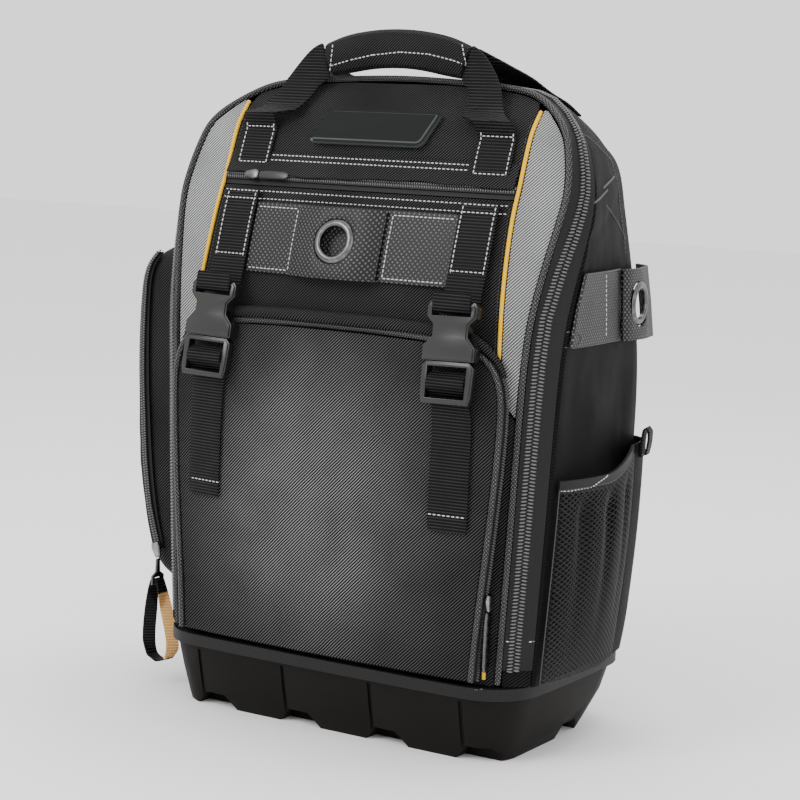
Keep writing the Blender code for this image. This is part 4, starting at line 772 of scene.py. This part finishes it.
def reshape(piece, rule):
    """Moves every point of a piece as a rule says, which takes and gives an array of points."""
    places = np.empty(len(piece.data.vertices) * 3, np.float64)
    piece.data.vertices.foreach_get("co", places)
    places = rule(places.reshape(-1, 3))
    piece.data.vertices.foreach_set("co", places.astype(np.float32).ravel())
    piece.data.update()


def cloth(node, material, levels=2, rule=None):
    """A soft piece over a CAD solid: rounded by subdivision, then shaped by a rule if one is given."""
    piece = merged_copy(node, node + "_soft")
    crease(piece, 35.0, 0.85)
    use(piece, "SUBSURF", levels=levels, render_levels=levels)
    if rule:
        reshape(piece, rule)
    return settle(piece, material, replaces=(node,))


def hard(node, material, width, body="pack", flat=2.0):
    """A moulded or metal piece over a CAD solid, with its edges rounded."""
    piece = merged_copy(node, node + "_made", flat=flat)
    use(piece, "BEVEL", width=width, segments=2, limit_method="ANGLE", angle_limit=math.radians(30),
        use_clamp_overlap=True)
    return settle(piece, material, replaces=(node,), body=body, smooth_angle=35.0)


def rumple(places, size, seed, stretch=(1.0, 1.0, 1.0)):
    """Smooth noise from minus one to one at each place, the same in each run."""
    scaled = places / (size * np.array(stretch))
    return np.array([noise.noise(Vector(point) + Vector((seed, seed * 0.7, -seed))) for point in scaled])


def near(values, centre, spread):
    """One at a centre, and less the farther away."""
    return np.exp(-((values - centre) / spread) ** 2)


# Slack and puckers of the cloth


def flattened(places, axis, value=0.0):
    """A copy of an array of points with one coordinate the same in all."""
    flat = places.copy()
    flat[:, axis] = value
    return flat


def front_slack(depth, size, seed, stretch=(1.0, 1.0, 1.0)):
    """Cloth of the front sinks a little, unevenly, into the pack."""
    def rule(places):
        flat = flattened(places, 1)
        places[:, 1] += depth * (0.5 + 0.5 * rumple(flat, size, seed, stretch))
        return places
    return rule


def pocket_slack(places):
    """The front pocket: broad upright waves, a sag at the foot, and short puckers at its welt."""
    flat = flattened(places, 1)
    broad = rumple(flat, 0.060, 3.1, (1.0, 1.0, 2.4))
    fine = rumple(flat, 0.018, 7.7, (1.0, 1.0, 1.6))
    edge = np.clip((np.abs(places[:, 0]) - 0.100) / 0.040, 0.0, 1.0)
    low = np.clip((0.130 - places[:, 2]) / 0.050, 0.0, 1.0)
    pucker = np.sin(places[:, 2] * math.tau / 0.013 + 2.0 * fine) * edge ** 2
    places[:, 1] += 0.0011 * (0.5 + 0.5 * broad) + 0.0004 * fine + 0.00035 * pucker
    places[:, 1] += 0.0012 * low * (0.5 + 0.5 * rumple(flat, 0.030, 1.3))
    return places


def body_slack(places):
    """The side walls: slack below the tool webbing, a dent above the net pocket, folds at the seams."""
    side = np.clip((np.abs(places[:, 0]) - 0.120) / 0.030, 0.0, 1.0)
    mid = np.clip((0.060 - places[:, 1]) / 0.020, 0.0, 1.0)
    mid *= np.clip((places[:, 1] + 0.085) / 0.020, 0.0, 1.0)
    flat = flattened(places, 0, np.sign(places[:, 0]) * 0.1)
    broad = rumple(flat, 0.055, 5.2, (1.0, 0.8, 1.6))
    fine = rumple(flat, 0.020, 2.4, (1.0, 0.8, 1.4))
    inward = 0.0022 * (0.5 + 0.5 * broad) + 0.0006 * fine
    inward += 0.0022 * near(places[:, 2], 0.275, 0.030) * (0.6 + 0.4 * np.sin(places[:, 1] * 60.0))
    inward += 0.0014 * near(places[:, 2] - 0.25 * places[:, 1], 0.420, 0.006)
    places[:, 0] -= np.sign(places[:, 0]) * inward * side * mid
    places[:, 2] -= 0.0012 * np.clip((places[:, 2] - 0.480) / 0.03, 0.0, 1.0) * (0.5 + 0.5 * broad)
    return places


def pocket_side_slack(places):
    """The deep side pocket: its outer face sinks between its seams."""
    flat = flattened(places, 0)
    inward = 0.0020 * (0.5 + 0.5 * rumple(flat, 0.050, 8.8, (1.0, 1.0, 1.5)))
    inward += 0.0005 * rumple(flat, 0.016, 4.1)
    out = np.clip((-places[:, 0] - 0.195) / 0.020, 0.0, 1.0)
    places[:, 0] += inward * out
    return places


def grip_slack(places):
    """The padded grip: shallow creases across it and a flattened middle."""
    wave = np.sin(places[:, 0] * math.tau / 0.019 + 3.0 * rumple(places, 0.03, 6.3))
    squeeze = 1.0 - 0.030 * wave - 0.05 * near(places[:, 0], 0.0, 0.03)
    middle_y = -0.047
    places[:, 1] = middle_y + (places[:, 1] - middle_y) * squeeze
    return places


def leg_slack(places):
    return places + 0.0006 * np.stack([rumple(places, 0.022, seed) for seed in (1.7, 5.9, 9.1)], axis=1)


def back_slack(places):
    places[:, 1] -= 0.0016 * near(np.mod(places[:, 0] + 0.018, 0.036), 0.018, 0.004)
    return places


# Stitches, teeth and other small things that repeat


class Skins:
    """Finished pieces that rays are sent at, so that stitches lie on what they sew."""

    def __init__(self, *pieces):
        self.trees = []
        for piece in pieces:
            mesh = piece.data
            points = [vertex.co.copy() for vertex in mesh.vertices]
            faces = [tuple(face.vertices) for face in mesh.polygons]
            self.trees.append(BVHTree.FromPolygons(points, faces))

    def hit(self, start, direction):
        best = None
        for tree in self.trees:
            point, normal, _, distance = tree.ray_cast(start, direction)
            if point is not None and (best is None or distance < best[2]):
                best = (point, normal if normal.dot(direction) < 0 else -normal, distance)
        return best[:2] if best else None


def seen(x, y):
    """The direction from the camera through a place of the photograph."""
    return (FORWARD * FOCAL + RIGHT * (x - HALF_FRAME) + UP * (HALF_FRAME - y)).normalized()


def seen_run(skins, corners, step=3.0):
    """Points on the skins along a line through places of the photograph."""
    found = []
    for (x0, y0), (x1, y1) in zip(corners, corners[1:]):
        count = max(int(math.hypot(x1 - x0, y1 - y0) / step), 1)
        for index in range(count + 1):
            part = index / count
            spot = skins.hit(EYE, seen(x0 + (x1 - x0) * part, y0 + (y1 - y0) * part))
            if spot:
                found.append(spot)
    return found


def straight_run(skins, corners):
    """Points on the skins along a line between places in front of the pack, all seen from the front."""
    found = []
    for first, last in zip(corners, corners[1:]):
        count = max(int((last - first).length / 0.004), 1)
        for index in range(count + 1):
            spot = skins.hit(first.lerp(last, index / count), Vector((0.0, 1.0, 0.0)))
            if spot:
                found.append(spot)
    return found


def small_body():
    """The small rounded body that stitches and zip teeth are made of: its points and its faces."""
    deselect()
    bpy.ops.mesh.primitive_uv_sphere_add(segments=6, ring_count=4, radius=1.0)
    ball = bpy.context.object
    points = np.array([vertex.co for vertex in ball.data.vertices])
    faces = [tuple(face.vertices) for face in ball.data.polygons]
    mesh = ball.data
    bpy.data.objects.remove(ball)
    bpy.data.meshes.remove(mesh)
    return points, faces


BODY_POINTS, BODY_FACES = small_body()


def scatter(name, frames, material):
    """One mesh of many copies of the small body, one for each frame of four vectors."""
    places = []
    faces = []
    for index, (spot, along, across, out) in enumerate(frames):
        places.append(BODY_POINTS @ np.array((along, across, out)) + np.array(spot))
        faces += [tuple(corner + index * len(BODY_POINTS) for corner in face) for face in BODY_FACES]
    piece = piece_of(name, np.concatenate(places).tolist(), faces)
    face_outward(piece)
    return settle(piece, material, smooth_angle=60.0, mapped=False)


def stitch_frames(run, pitch, long, wide):
    """Where the stitches of one run lie: even steps along it, none across a break in it."""
    lift = 0.0002
    break_over = 0.012
    frames = []
    travelled = 0.0
    due = pitch * 0.5
    for (first, normal), (last, other) in zip(run, run[1:]):
        length = (last - first).length
        if length > break_over or length < 1e-7:
            due = travelled + pitch * 0.5
            continue
        while due <= travelled + length:
            part = (due - travelled) / length
            spot = first.lerp(last, part)
            out = normal.lerp(other, part).normalized()
            along = (last - first).normalized()
            across = out.cross(along).normalized()
            frames.append((spot + out * lift, along * long / 2, across * wide / 2, out * wide / 2))
            due += pitch
        travelled += length
    return frames


def sew(name, runs, material=THREAD, pitch=0.0038, long=0.0030, wide=0.0011):
    frames = [stitch for run in runs for stitch in stitch_frames(run, pitch, long, wide)]
    scatter(name, frames, material)


def coil(name, middles, half, pitch, rise):
    """Two rows of zip teeth along a line of middles, each a place, a way across and a way out."""
    frames = []
    due = 0.0
    travelled = 0.0
    for (first, across_a, out_a), (last, across_b, out_b) in zip(middles, middles[1:]):
        length = (last - first).length
        while length > 1e-7 and due <= travelled + length:
            part = (due - travelled) / length
            spot = first.lerp(last, part)
            across = across_a.lerp(across_b, part).normalized()
            out = out_a.lerp(out_b, part).normalized()
            along = (last - first).normalized()
            for side in (-1, 1):
                shift = along * (pitch * 0.25 * side)
                tilt = (across * side + along * 0.12).normalized()
                centre = spot + across * (half * 0.50 * side) + shift
                frames.append((centre, along * pitch * 0.34, tilt * half * 0.56, out * rise))
            due += pitch
        travelled += length
    scatter(name, frames, COIL)


def strip(name, rows, wall, material, replaces=()):
    """A cut length of cloth through rows of points, with its thickness behind them."""
    columns = len(rows[0])
    points = [point for row in rows for point in row]
    faces = []
    for row in range(len(rows) - 1):
        for column in range(columns - 1):
            start = row * columns + column
            faces.append((start, start + 1, start + columns + 1, start + columns))
    piece = piece_of(name, points, faces)
    core = Vector((0, 0, 0.25))
    if sum(face.normal.dot(face.center - core) for face in piece.data.polygons) < 0:
        with shaping(piece.data) as shape:
            bmesh.ops.reverse_faces(shape, faces=shape.faces)
    use(piece, "SOLIDIFY", thickness=wall, offset=-1.0)
    crease(piece, 50.0, 0.8)
    use(piece, "SUBSURF", levels=1, render_levels=1)
    return settle(piece, material, replaces=replaces)


def tube(name, stations, material):
    """A closed roll along stations of a middle, a way across and a way out, with both half widths in them."""
    sides = 12
    points = []
    for middle, across, out in stations:
        for step in range(sides):
            angle = math.tau * step / sides
            points.append(middle + across * math.cos(angle) + out * math.sin(angle))
    faces = [tuple(range(sides)), tuple(reversed(range(len(points) - sides, len(points))))]
    for row in range(len(stations) - 1):
        for step in range(sides):
            here = row * sides + step
            along = row * sides + (step + 1) % sides
            faces.append((here, here + sides, along + sides, along))
    piece = piece_of(name, points, faces)
    face_outward(piece)
    settle(piece, material, smooth_angle=60.0)


# Cloth, webbing and padding over the solids

body = cloth("body_shell", SHADED_SIDE_TWILL, levels=3, rule=body_slack)
front = cloth("front_panel", BLACK_TWILL, rule=front_slack(0.0004, 0.03, 2.0))
upper_slack = front_slack(0.0012, 0.028, 4.0, (1.4, 1, 1))
upper = cloth("upper_panel", BLACK_TWILL, levels=3, rule=upper_slack)
silver_slack = front_slack(0.0006, 0.030, 6.0)
silver = [cloth(f"side_panel_{side}", SILVER_TWILL, rule=silver_slack)
          for side in ("left", "right")]
pocket = cloth("front_pocket", POCKET_TWILL_PAINTED_HIGHLIGHT, levels=3, rule=pocket_slack)
cloth("side_pocket", BLACK_TWILL, rule=pocket_side_slack)
cloth("mesh_gusset", SHADED_SIDE_TWILL)
cloth("back_pad", SHADED_TWILL, levels=3, rule=back_slack)
for side in ("left", "right"):
    cloth(f"shoulder_strap_{side}", SHADED_TWILL, levels=3)
    cloth(f"lower_web_{side}", WEBBING)
    cloth(f"zip_tab_{side}", SHADED_TWILL)
    cloth(f"piping_{side}", YELLOW)
    cloth(f"piping_end_{side}", YELLOW)
grip = cloth("handle_grip", GRIP_CLOTH, levels=3, rule=grip_slack)
legs = {}
straps = {}
tails = {}
for side in ("left", "right"):
    legs[side] = cloth(f"handle_leg_{side}", WEBBING, levels=3, rule=leg_slack)
    cloth(f"handle_back_{side}", WEBBING, levels=3, rule=leg_slack)
    straps[side] = cloth(f"strap_{side}", WEBBING)
    tails[side] = cloth(f"tail_{side}", WEBBING)
hem = cloth("hem", BINDING, levels=1)
band = cloth("front_band", TOOL_WEBBING)
side_band = cloth("side_band", TOOL_WEBBING)
pull_loop = cloth("side_loop", WEBBING)
pull_loop.data.materials.append(TAN)
for face in pull_loop.data.polygons:
    if face.center.x > TAN_SIDE_X and TAN_LOW_Z < face.center.z < TAN_TOP_Z:
        face.material_index = 1
cloth("mesh_loop", WEBBING)
net_edge = cloth("mesh_binding", BINDING)
cloth("edge_welt", CORD_BINDING)
cloth("pocket_welt", CORD_BINDING)
cloth("pocket_zip", TAPE, levels=1)
cloth("upper_zip", TAPE)
cloth("side_pocket_zip", TAPE, levels=1)
loop = hard("front_loop", TOOL_WEBBING, width=0.0006)
hard("side_hoop", TOOL_WEBBING, width=0.0006)

# Moulded and metal pieces

hard("base_tray", BASE, width=0.0012, flat=1.0)
for side in ("left", "right"):
    hard(f"socket_{side}", BUCKLE, width=0.0008)
    hard(f"plug_{side}", BUCKLE, width=0.0006)
badge = hard("badge", BADGE, width=0.0005)
# The small bevel faces and the back of the badge take the paler skin, a painted highlight on its rim.
badge.data.materials.append(BADGE_RIM_HIGHLIGHT)
largest = max(face.area for face in badge.data.polygons if face.normal.y < 0)
for face in badge.data.polygons:
    face.material_index = int(face.area < BADGE_FIELD_SHARE * largest or face.normal.y > 0)
hard("upper_slider", METAL, width=0.0006)
for node in ("pocket_slider", "side_slider"):
    hard(node, BRIGHT_METAL, width=0.0006)
hard("side_pull", METAL, width=0.0003)
hard("upper_pull", BUCKLE, width=0.0005, body="upper_zip_pull")
hard("pocket_pull", METAL, width=0.0005, body="pocket_zip_pull")


def disc_frame(node):
    """The middle of a round node and the way it faces, from its points."""
    points = np.array([vertex.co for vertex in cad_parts[node].data.vertices])
    low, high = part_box(node)
    middle = points.mean(axis=0)
    _, _, turn = np.linalg.svd(points - middle)
    out = Vector(turn[2])
    return (low + high) / 2, out


def eyelet(node, away):
    """A pressed metal eyelet: a domed flange and a rolled bore."""
    middle, out = disc_frame(node)
    if out.dot(Vector(away)) < 0:
        out = -out
    turn = out.to_track_quat("Z", "Y").to_matrix().to_4x4()
    inner = EYELET_INNER
    outer = EYELET_OUTER
    profile = ((inner, -0.0018), (inner, 0.0006), (inner + 0.0004, 0.0014), (inner + 0.0012, 0.0019),
               (inner + 0.0024, 0.0020), (inner + 0.0038, 0.0016), (outer - 0.0005, 0.0009), (outer, 0.0002),
               (outer - 0.0004, -0.0006), (outer - 0.0015, -0.0010), (inner + 0.0014, -0.0018))
    mesh = bpy.data.meshes.new(node + "_ring")
    shape = bmesh.new()
    corners = [shape.verts.new((radius, 0.0, height)) for radius, height in profile]
    edges = [shape.edges.new(pair) for pair in zip(corners, corners[1:] + corners[:1])]
    bmesh.ops.spin(shape, geom=corners + edges, cent=(0, 0, 0), axis=(0, 0, 1), angle=math.tau, steps=64,
                   use_merge=True)
    bmesh.ops.remove_doubles(shape, verts=shape.verts, dist=1e-6)
    bmesh.ops.recalc_face_normals(shape, faces=shape.faces)
    shape.transform(Matrix.Translation(middle) @ turn)
    shape.to_mesh(mesh)
    shape.free()
    return settle(new_piece(node + "_ring", mesh), METAL, replaces=(node,), smooth_angle=50.0)


eyelet("front_eyelet", (0, -1, 0))
eyelet("side_eyelet", (1, 0, 0))


# Zips

def coil_share(z):
    """Where across its tape the long zip's coil runs: nearer the welt low down."""
    return 0.34 + 0.21 * min(max((z - 0.36) / 0.08, 0.0), 1.0)


def zip_tape_rows():
    """The long zip's tape, one row at each place round the front, with a raised bed under the coil."""
    rows = []
    for start, end, face in band_points():
        if start.z < RIM_Z + 0.02:
            lift = Vector((0, 0, RIM_Z + 0.014 - start.z))
            start = start + lift
            end = end + lift
        middle = coil_share(start.z)
        bed = [middle + aside for aside in (-0.27, -0.22, -0.05, 0.05, 0.22, 0.27)]
        shares = (0.0, *bed, 0.9, 1.0)
        rises = (0.0, 0.0002, 0.0008, 0.0009, 0.0009, 0.0008, 0.0002, 0.0003, 0.0)
        rows.append([start.lerp(end, share) + face * rise for share, rise in zip(shares, rises)])
    return rows


def zip_middles():
    """The middle of the long zip's coil, all round the front."""
    middles = []
    for start, end, face in band_points():
        run = (end - start).normalized()
        middles.append((start.lerp(end, coil_share(start.z)) + face * 0.0012, run, face))
    for index in (0, -1):
        spot, run, face = middles[index]
        middles[index] = (spot + Vector((0, 0, RIM_Z + 0.015 - spot.z)), run, face)
    return middles


zip_band = strip("main_zip_tape", zip_tape_rows(), ZIP_TAPE_WALL, TAPE, replaces=("main_zip",))
coil("main_zip_teeth", zip_middles(), 0.0052, pitch=0.0027, rise=0.0013)

upper_middles = []
for index in range(41):
    x = (PIPING_X - PIPING_RADIUS - 0.001) * (2 * index / 40 - 1)
    low = Vector((x, front_y(x, ZIP_Z - 0.004), ZIP_Z - 0.004))
    high = Vector((x, front_y(x, ZIP_Z + 0.004), ZIP_Z + 0.004))
    rise = (high - low).normalized()
    out = Vector((1, 0, 0)).cross(rise).normalized()
    out = out if out.y < 0 else -out
    upper_middles.append((Vector((x, front_y(x, ZIP_Z), ZIP_Z)) + out * COIL_HEIGHT * 0.92, rise, out))
coil("upper_zip_teeth", upper_middles, 0.0027, pitch=0.0021, rise=0.0008)

pocket_edges = [pocket_edge(place, side) for place, side in outline_path(rows=len(POCKET_OUTLINE) - 1)]
pocket_middles = []
for index, point in enumerate(pocket_edges):
    away = outward(pocket_edges, index)
    start = point + Vector((0, POCKET_WELT_RADIUS + GAP, 0))
    start.y += (front_y(point.x, point.z) - SEAT - start.y) * 0.55
    pocket_middles.append((start + away * COIL_HEIGHT * 0.92, Vector((0, 1, 0)), away))
coil("pocket_zip_teeth", pocket_middles, 0.0020, pitch=0.0021, rise=0.0008)

deep_middles = []
deep_lift = 2 * SEAT + BAND_THICK + COIL_HEIGHT * 0.95
for first, last in zip(SIDE_TRACK, SIDE_TRACK[1:]):
    for step in range(4):
        place = min(first.place + (last.place - first.place) * step / 4, 14.99)
        share = first.out + (last.out - first.out) * step / 4
        spot = side_front_point(place, share, deep_lift)
        inner = side_front_point(place, share - 0.03, deep_lift)
        outer = side_front_point(place, share + 0.03, deep_lift)
        out = spot - side_front_point(place, share, 0.0)
        deep_middles.append((spot, (outer - inner).normalized(), out.normalized()))
coil("side_zip_teeth", deep_middles, 0.0030, pitch=0.0022, rise=0.0009)


# The net: diamonds of cord, stretched from the hem to the binding

def net():
    deselect()
    bpy.ops.mesh.primitive_grid_add(x_subdivisions=NET_COLUMNS, y_subdivisions=NET_ROWS, size=2.0)
    piece = take("net_cords")
    with shaping(piece.data) as shape:
        bmesh.ops.poke(shape, faces=shape.faces)
        inside = [edge for edge in shape.edges if len(edge.link_faces) == 2]
        squares = [edge for edge in inside if all(len(vert.link_edges) > 4 for vert in edge.verts)]
        bmesh.ops.dissolve_edges(shape, edges=squares, use_verts=False)
        for vert in shape.verts:
            run = (vert.co.x + 1) / 2
            rise = (vert.co.y + 1) / 2
            vert.co = net_point(run, rise * NET_SEWN_SHARE, NET_THICK * 0.5)
        shape.normal_update()
    use(piece, "WIREFRAME", thickness=NET_CORD, use_even_offset=False, use_boundary=True)
    settle(piece, NET_THREAD, replaces=("mesh_net",), smooth_angle=60.0)


net()


# The roll of cloth over the pocket's zip, the flap over the short zip, and the feet of the piping

roll = []
roll_path = outline_path(rows=len(POCKET_OUTLINE) - 1, steps=4)
roll_edges = [pocket_edge(place, side) for place, side in roll_path if place > 4.0]
for index, point in enumerate(roll_edges):
    away = outward(roll_edges, index)
    end = min(index, len(roll_edges) - 1 - index) / 6.0
    thick = ROLL_RADIUS * min(0.35 + 0.65 * end, 1.0)
    spot = point + away * (0.0012 + thick)
    spot.y = front_y(spot.x, spot.z) - 0.0055
    roll.append((spot, away * thick, Vector((0, -1, 0)) * thick * 0.95))
tube("pocket_roll", roll, BLACK_TWILL)

flap_rows = []
flap_levels = ((0.4560, 0.0006), (0.4520, 0.0016), (0.4470, 0.0026), (0.4420, 0.0040), (0.4385, FLAP_LIFT))
for level, lift in flap_levels:
    row = []
    for index in range(49):
        x = (PIPING_X - PIPING_RADIUS - 0.0012) * (2 * index / 48 - 1)
        loose = lift / FLAP_LIFT
        low = level + (0.0010 * math.sin(x * 38.0) + 0.0005 * math.sin(x * 150.0)) * loose
        row.append(Vector((x, front_y(x, low) - lift - 0.0004 * math.sin(x * 95.0) * loose, low)))
    flap_rows.append(row)
flap = strip("zip_flap", flap_rows, FLAP_WALL, BLACK_TWILL)

for side, word in ((-1, "left"), (1, "right")):
    foot = []
    for index in range(9):
        z = PIPING_LOW_Z + 0.002 - PIPING_FOOT * index / 8
        x = side * piping_x(z)
        spot = Vector((x, front_y(x, z) - PIPING_RADIUS * 0.3, z))
        foot.append((spot, Vector((PIPING_RADIUS * 0.9, 0, 0)), Vector((0, -PIPING_RADIUS * 0.9, 0))))
    tube(f"piping_foot_{word}", foot, YELLOW)


# Stitches

FRONT_SKINS = Skins(front, upper, flap, *silver, band, loop, *straps.values(), *legs.values(),
                    pocket, zip_band)
AHEAD_OF_PACK = -0.40
STRAP_EDGE = 0.0136
TAIL_EDGE = 0.0145
PATCH_EDGE = 0.0135


def ahead(*corners, skins=FRONT_SKINS):
    """A run of stitches between places across and up the front."""
    return straight_run(skins, [Vector((x, AHEAD_OF_PACK, z)) for x, z in corners])


runs = []
for side, word in ((-1, "left"), (1, "right")):
    mid = side * STRAP_X
    skins = Skins(straps[word])
    for x in (mid - STRAP_EDGE, mid + STRAP_EDGE):
        runs.append(ahead((x, STRAP_STITCHES_TOP_Z), (x, STRAP_STITCHES_LOW_Z), skins=skins))
    runs.append(ahead((mid - STRAP_EDGE, 0.3745), (mid + STRAP_EDGE, 0.3745), skins=skins))
    low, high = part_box(f"tail_{word}")
    middle = (low.x + high.x) / 2
    runs.append(ahead((middle - TAIL_EDGE, TAIL_STITCHES_Z), (middle + TAIL_EDGE, TAIL_STITCHES_Z),
                      skins=Skins(tails[word])))
    patch = Skins(legs[word])
    for x in (mid - PATCH_EDGE, mid + PATCH_EDGE):
        runs.append(ahead((x, 0.447), (x, 0.478), skins=patch))
    for level in (0.4475, 0.476):
        runs.append(ahead((mid - PATCH_EDGE, level), (mid + PATCH_EDGE, level), skins=patch))
# The two rows under the short zip, over straps and panel
for level in (0.4245, 0.4185):
    runs.append(ahead((-0.131, level), (0.131, level)))
# The hem of the flap above the short zip
for level in (0.4535, 0.4495):
    runs.append(ahead((-0.092, level), (0.092, level), skins=Skins(flap)))
sew("front_stitches", runs)

# The boxes that hold the tool webbing down on each side of its loop
boxes = []
low_z = BAND_Z - BAND_HEIGHT / 2 + 0.003
high_z = BAND_Z + BAND_HEIGHT / 2 - 0.004
loop_left = -0.0515
loop_right = 0.036
band_skin = Skins(band)
for low_x, high_x in ((-0.0905, loop_left), (loop_right, 0.0905)):
    for level in (high_z, low_z):
        boxes.append(ahead((low_x, level), (high_x, level), skins=band_skin))
for x in (loop_left, loop_right):
    boxes.append(ahead((x, low_z), (x, high_z), skins=band_skin))
sew("band_stitches", boxes)


def sew_seen(name, skins, *lines, step=3.0, **thread):
    """Stitches along lines that are given as places of the photograph."""
    sew(name, [seen_run(skins, line, step) for line in lines], **thread)


side_skins = Skins(body, side_band)
sew_seen("grip_stitches", Skins(grip),
         [(330, 66), (350, 60), (372, 55), (400, 52), (428, 54), (452, 60), (468, 66)],
         [(333, 44), (330, 70)], [(462, 44), (466, 66)])
sew_seen("side_seams", side_skins,
         [(574, 128), (592, 140), (611, 160), (618, 185), (620, 210), (624, 236), (625, 254)],
         [(606, 205), (616, 220), (625, 238)], material=SEAM_THREAD)
sew_seen("side_binding", side_skins,
         [(618, 171), (611, 180), (603, 188)], [(607, 190), (600, 198), (591, 206)],
         step=2.0, material=SEAM_THREAD, pitch=0.0022, long=0.0030, wide=0.0018)
sew_seen("side_band_stitches", side_skins, [(606, 274), (606, 334)])
sew_seen("side_patch_stitches", side_skins, [(562, 333), (576, 331), (582, 338), (578, 346), (562, 348)],
         material=DARK_THREAD)
sew_seen("net_edge_stitches", Skins(net_edge), [(546, 492), (570, 491), (592, 487), (606, 477), (616, 466)])
sew_seen("zip_end_stitches", Skins(zip_band, body),
         [(501, 641), (514, 642)], [(528, 642), (536, 641)], step=1.0)
sew_seen("hem_stitches", Skins(hem), [(474, 690), (502, 687), (540, 678)], material=DARK_THREAD)

# Fine stitches beside the yellow piping
piping_runs = []
for side in (-1, 1):
    for skin, low_z, high_z, count in ((front, 0.300, 0.424, 16), (upper, 0.446, 0.490, 8)):
        corners = [(side * (piping_x(z) - 0.0040), z) for z in np.linspace(low_z, high_z, count)]
        piping_runs.append(ahead(*corners, skins=Skins(skin)))
sew("piping_stitches", piping_runs, material=DARK_THREAD, pitch=0.0028, long=0.0018, wide=0.0006)


# Floor, light and camera

def floor():
    deselect()
    bpy.ops.mesh.primitive_plane_add(size=FLOOR_SIZE, location=(0, 0, 0))
    piece = take("floor")
    made = Finish("pale_floor", roughness=0.9)
    made.colour(made.blend(made.cloud(3.0), grey(0.90), grey(0.92)))
    piece.data.materials.append(made.material)


def area_light(name, place, target, size, power):
    light = bpy.data.lights.new(name, "AREA")
    light.shape = "RECTANGLE"
    light.size, light.size_y = size
    light.energy = power
    lamp = bpy.data.objects.new(name, light)
    lamp.location = place
    lamp.rotation_euler = (Vector(target) - Vector(place)).to_track_quat("-Z", "Y").to_euler()
    bpy.context.scene.collection.objects.link(lamp)


def sky():
    world = bpy.data.worlds.new("studio")
    world.use_nodes = True
    background = world.node_tree.nodes["Background"]
    background.inputs["Color"].default_value = (1.0, 1.0, 1.0, 1.0)
    background.inputs["Strength"].default_value = 1.5
    bpy.context.scene.world = world


def camera():
    lens = bpy.data.cameras.new("photo_view")
    lens.sensor_width = 36.0
    lens.lens = FOCAL / (2 * HALF_FRAME) * 36.0
    lens.clip_start = 0.05
    lens.clip_end = 60.0
    eye = bpy.data.objects.new("photo_view", lens)
    turn = Matrix((RIGHT, UP, -FORWARD)).transposed().to_4x4()
    turn.translation = EYE
    eye.matrix_world = turn
    bpy.context.scene.collection.objects.link(eye)
    bpy.context.scene.camera = eye


floor()
sky()
area_light("key_light", (-0.9, -2.2, 1.9), (0.0, -0.1, 0.30), (1.3, 1.3), 48.0)
area_light("fill_light", (2.4, -1.4, 1.1), (0.0, 0.0, 0.28), (1.2, 1.6), 14.0)
area_light("top_light", (0.1, 0.5, 2.3), (0.0, 0.0, 0.40), (1.4, 1.0), 22.0)
camera()
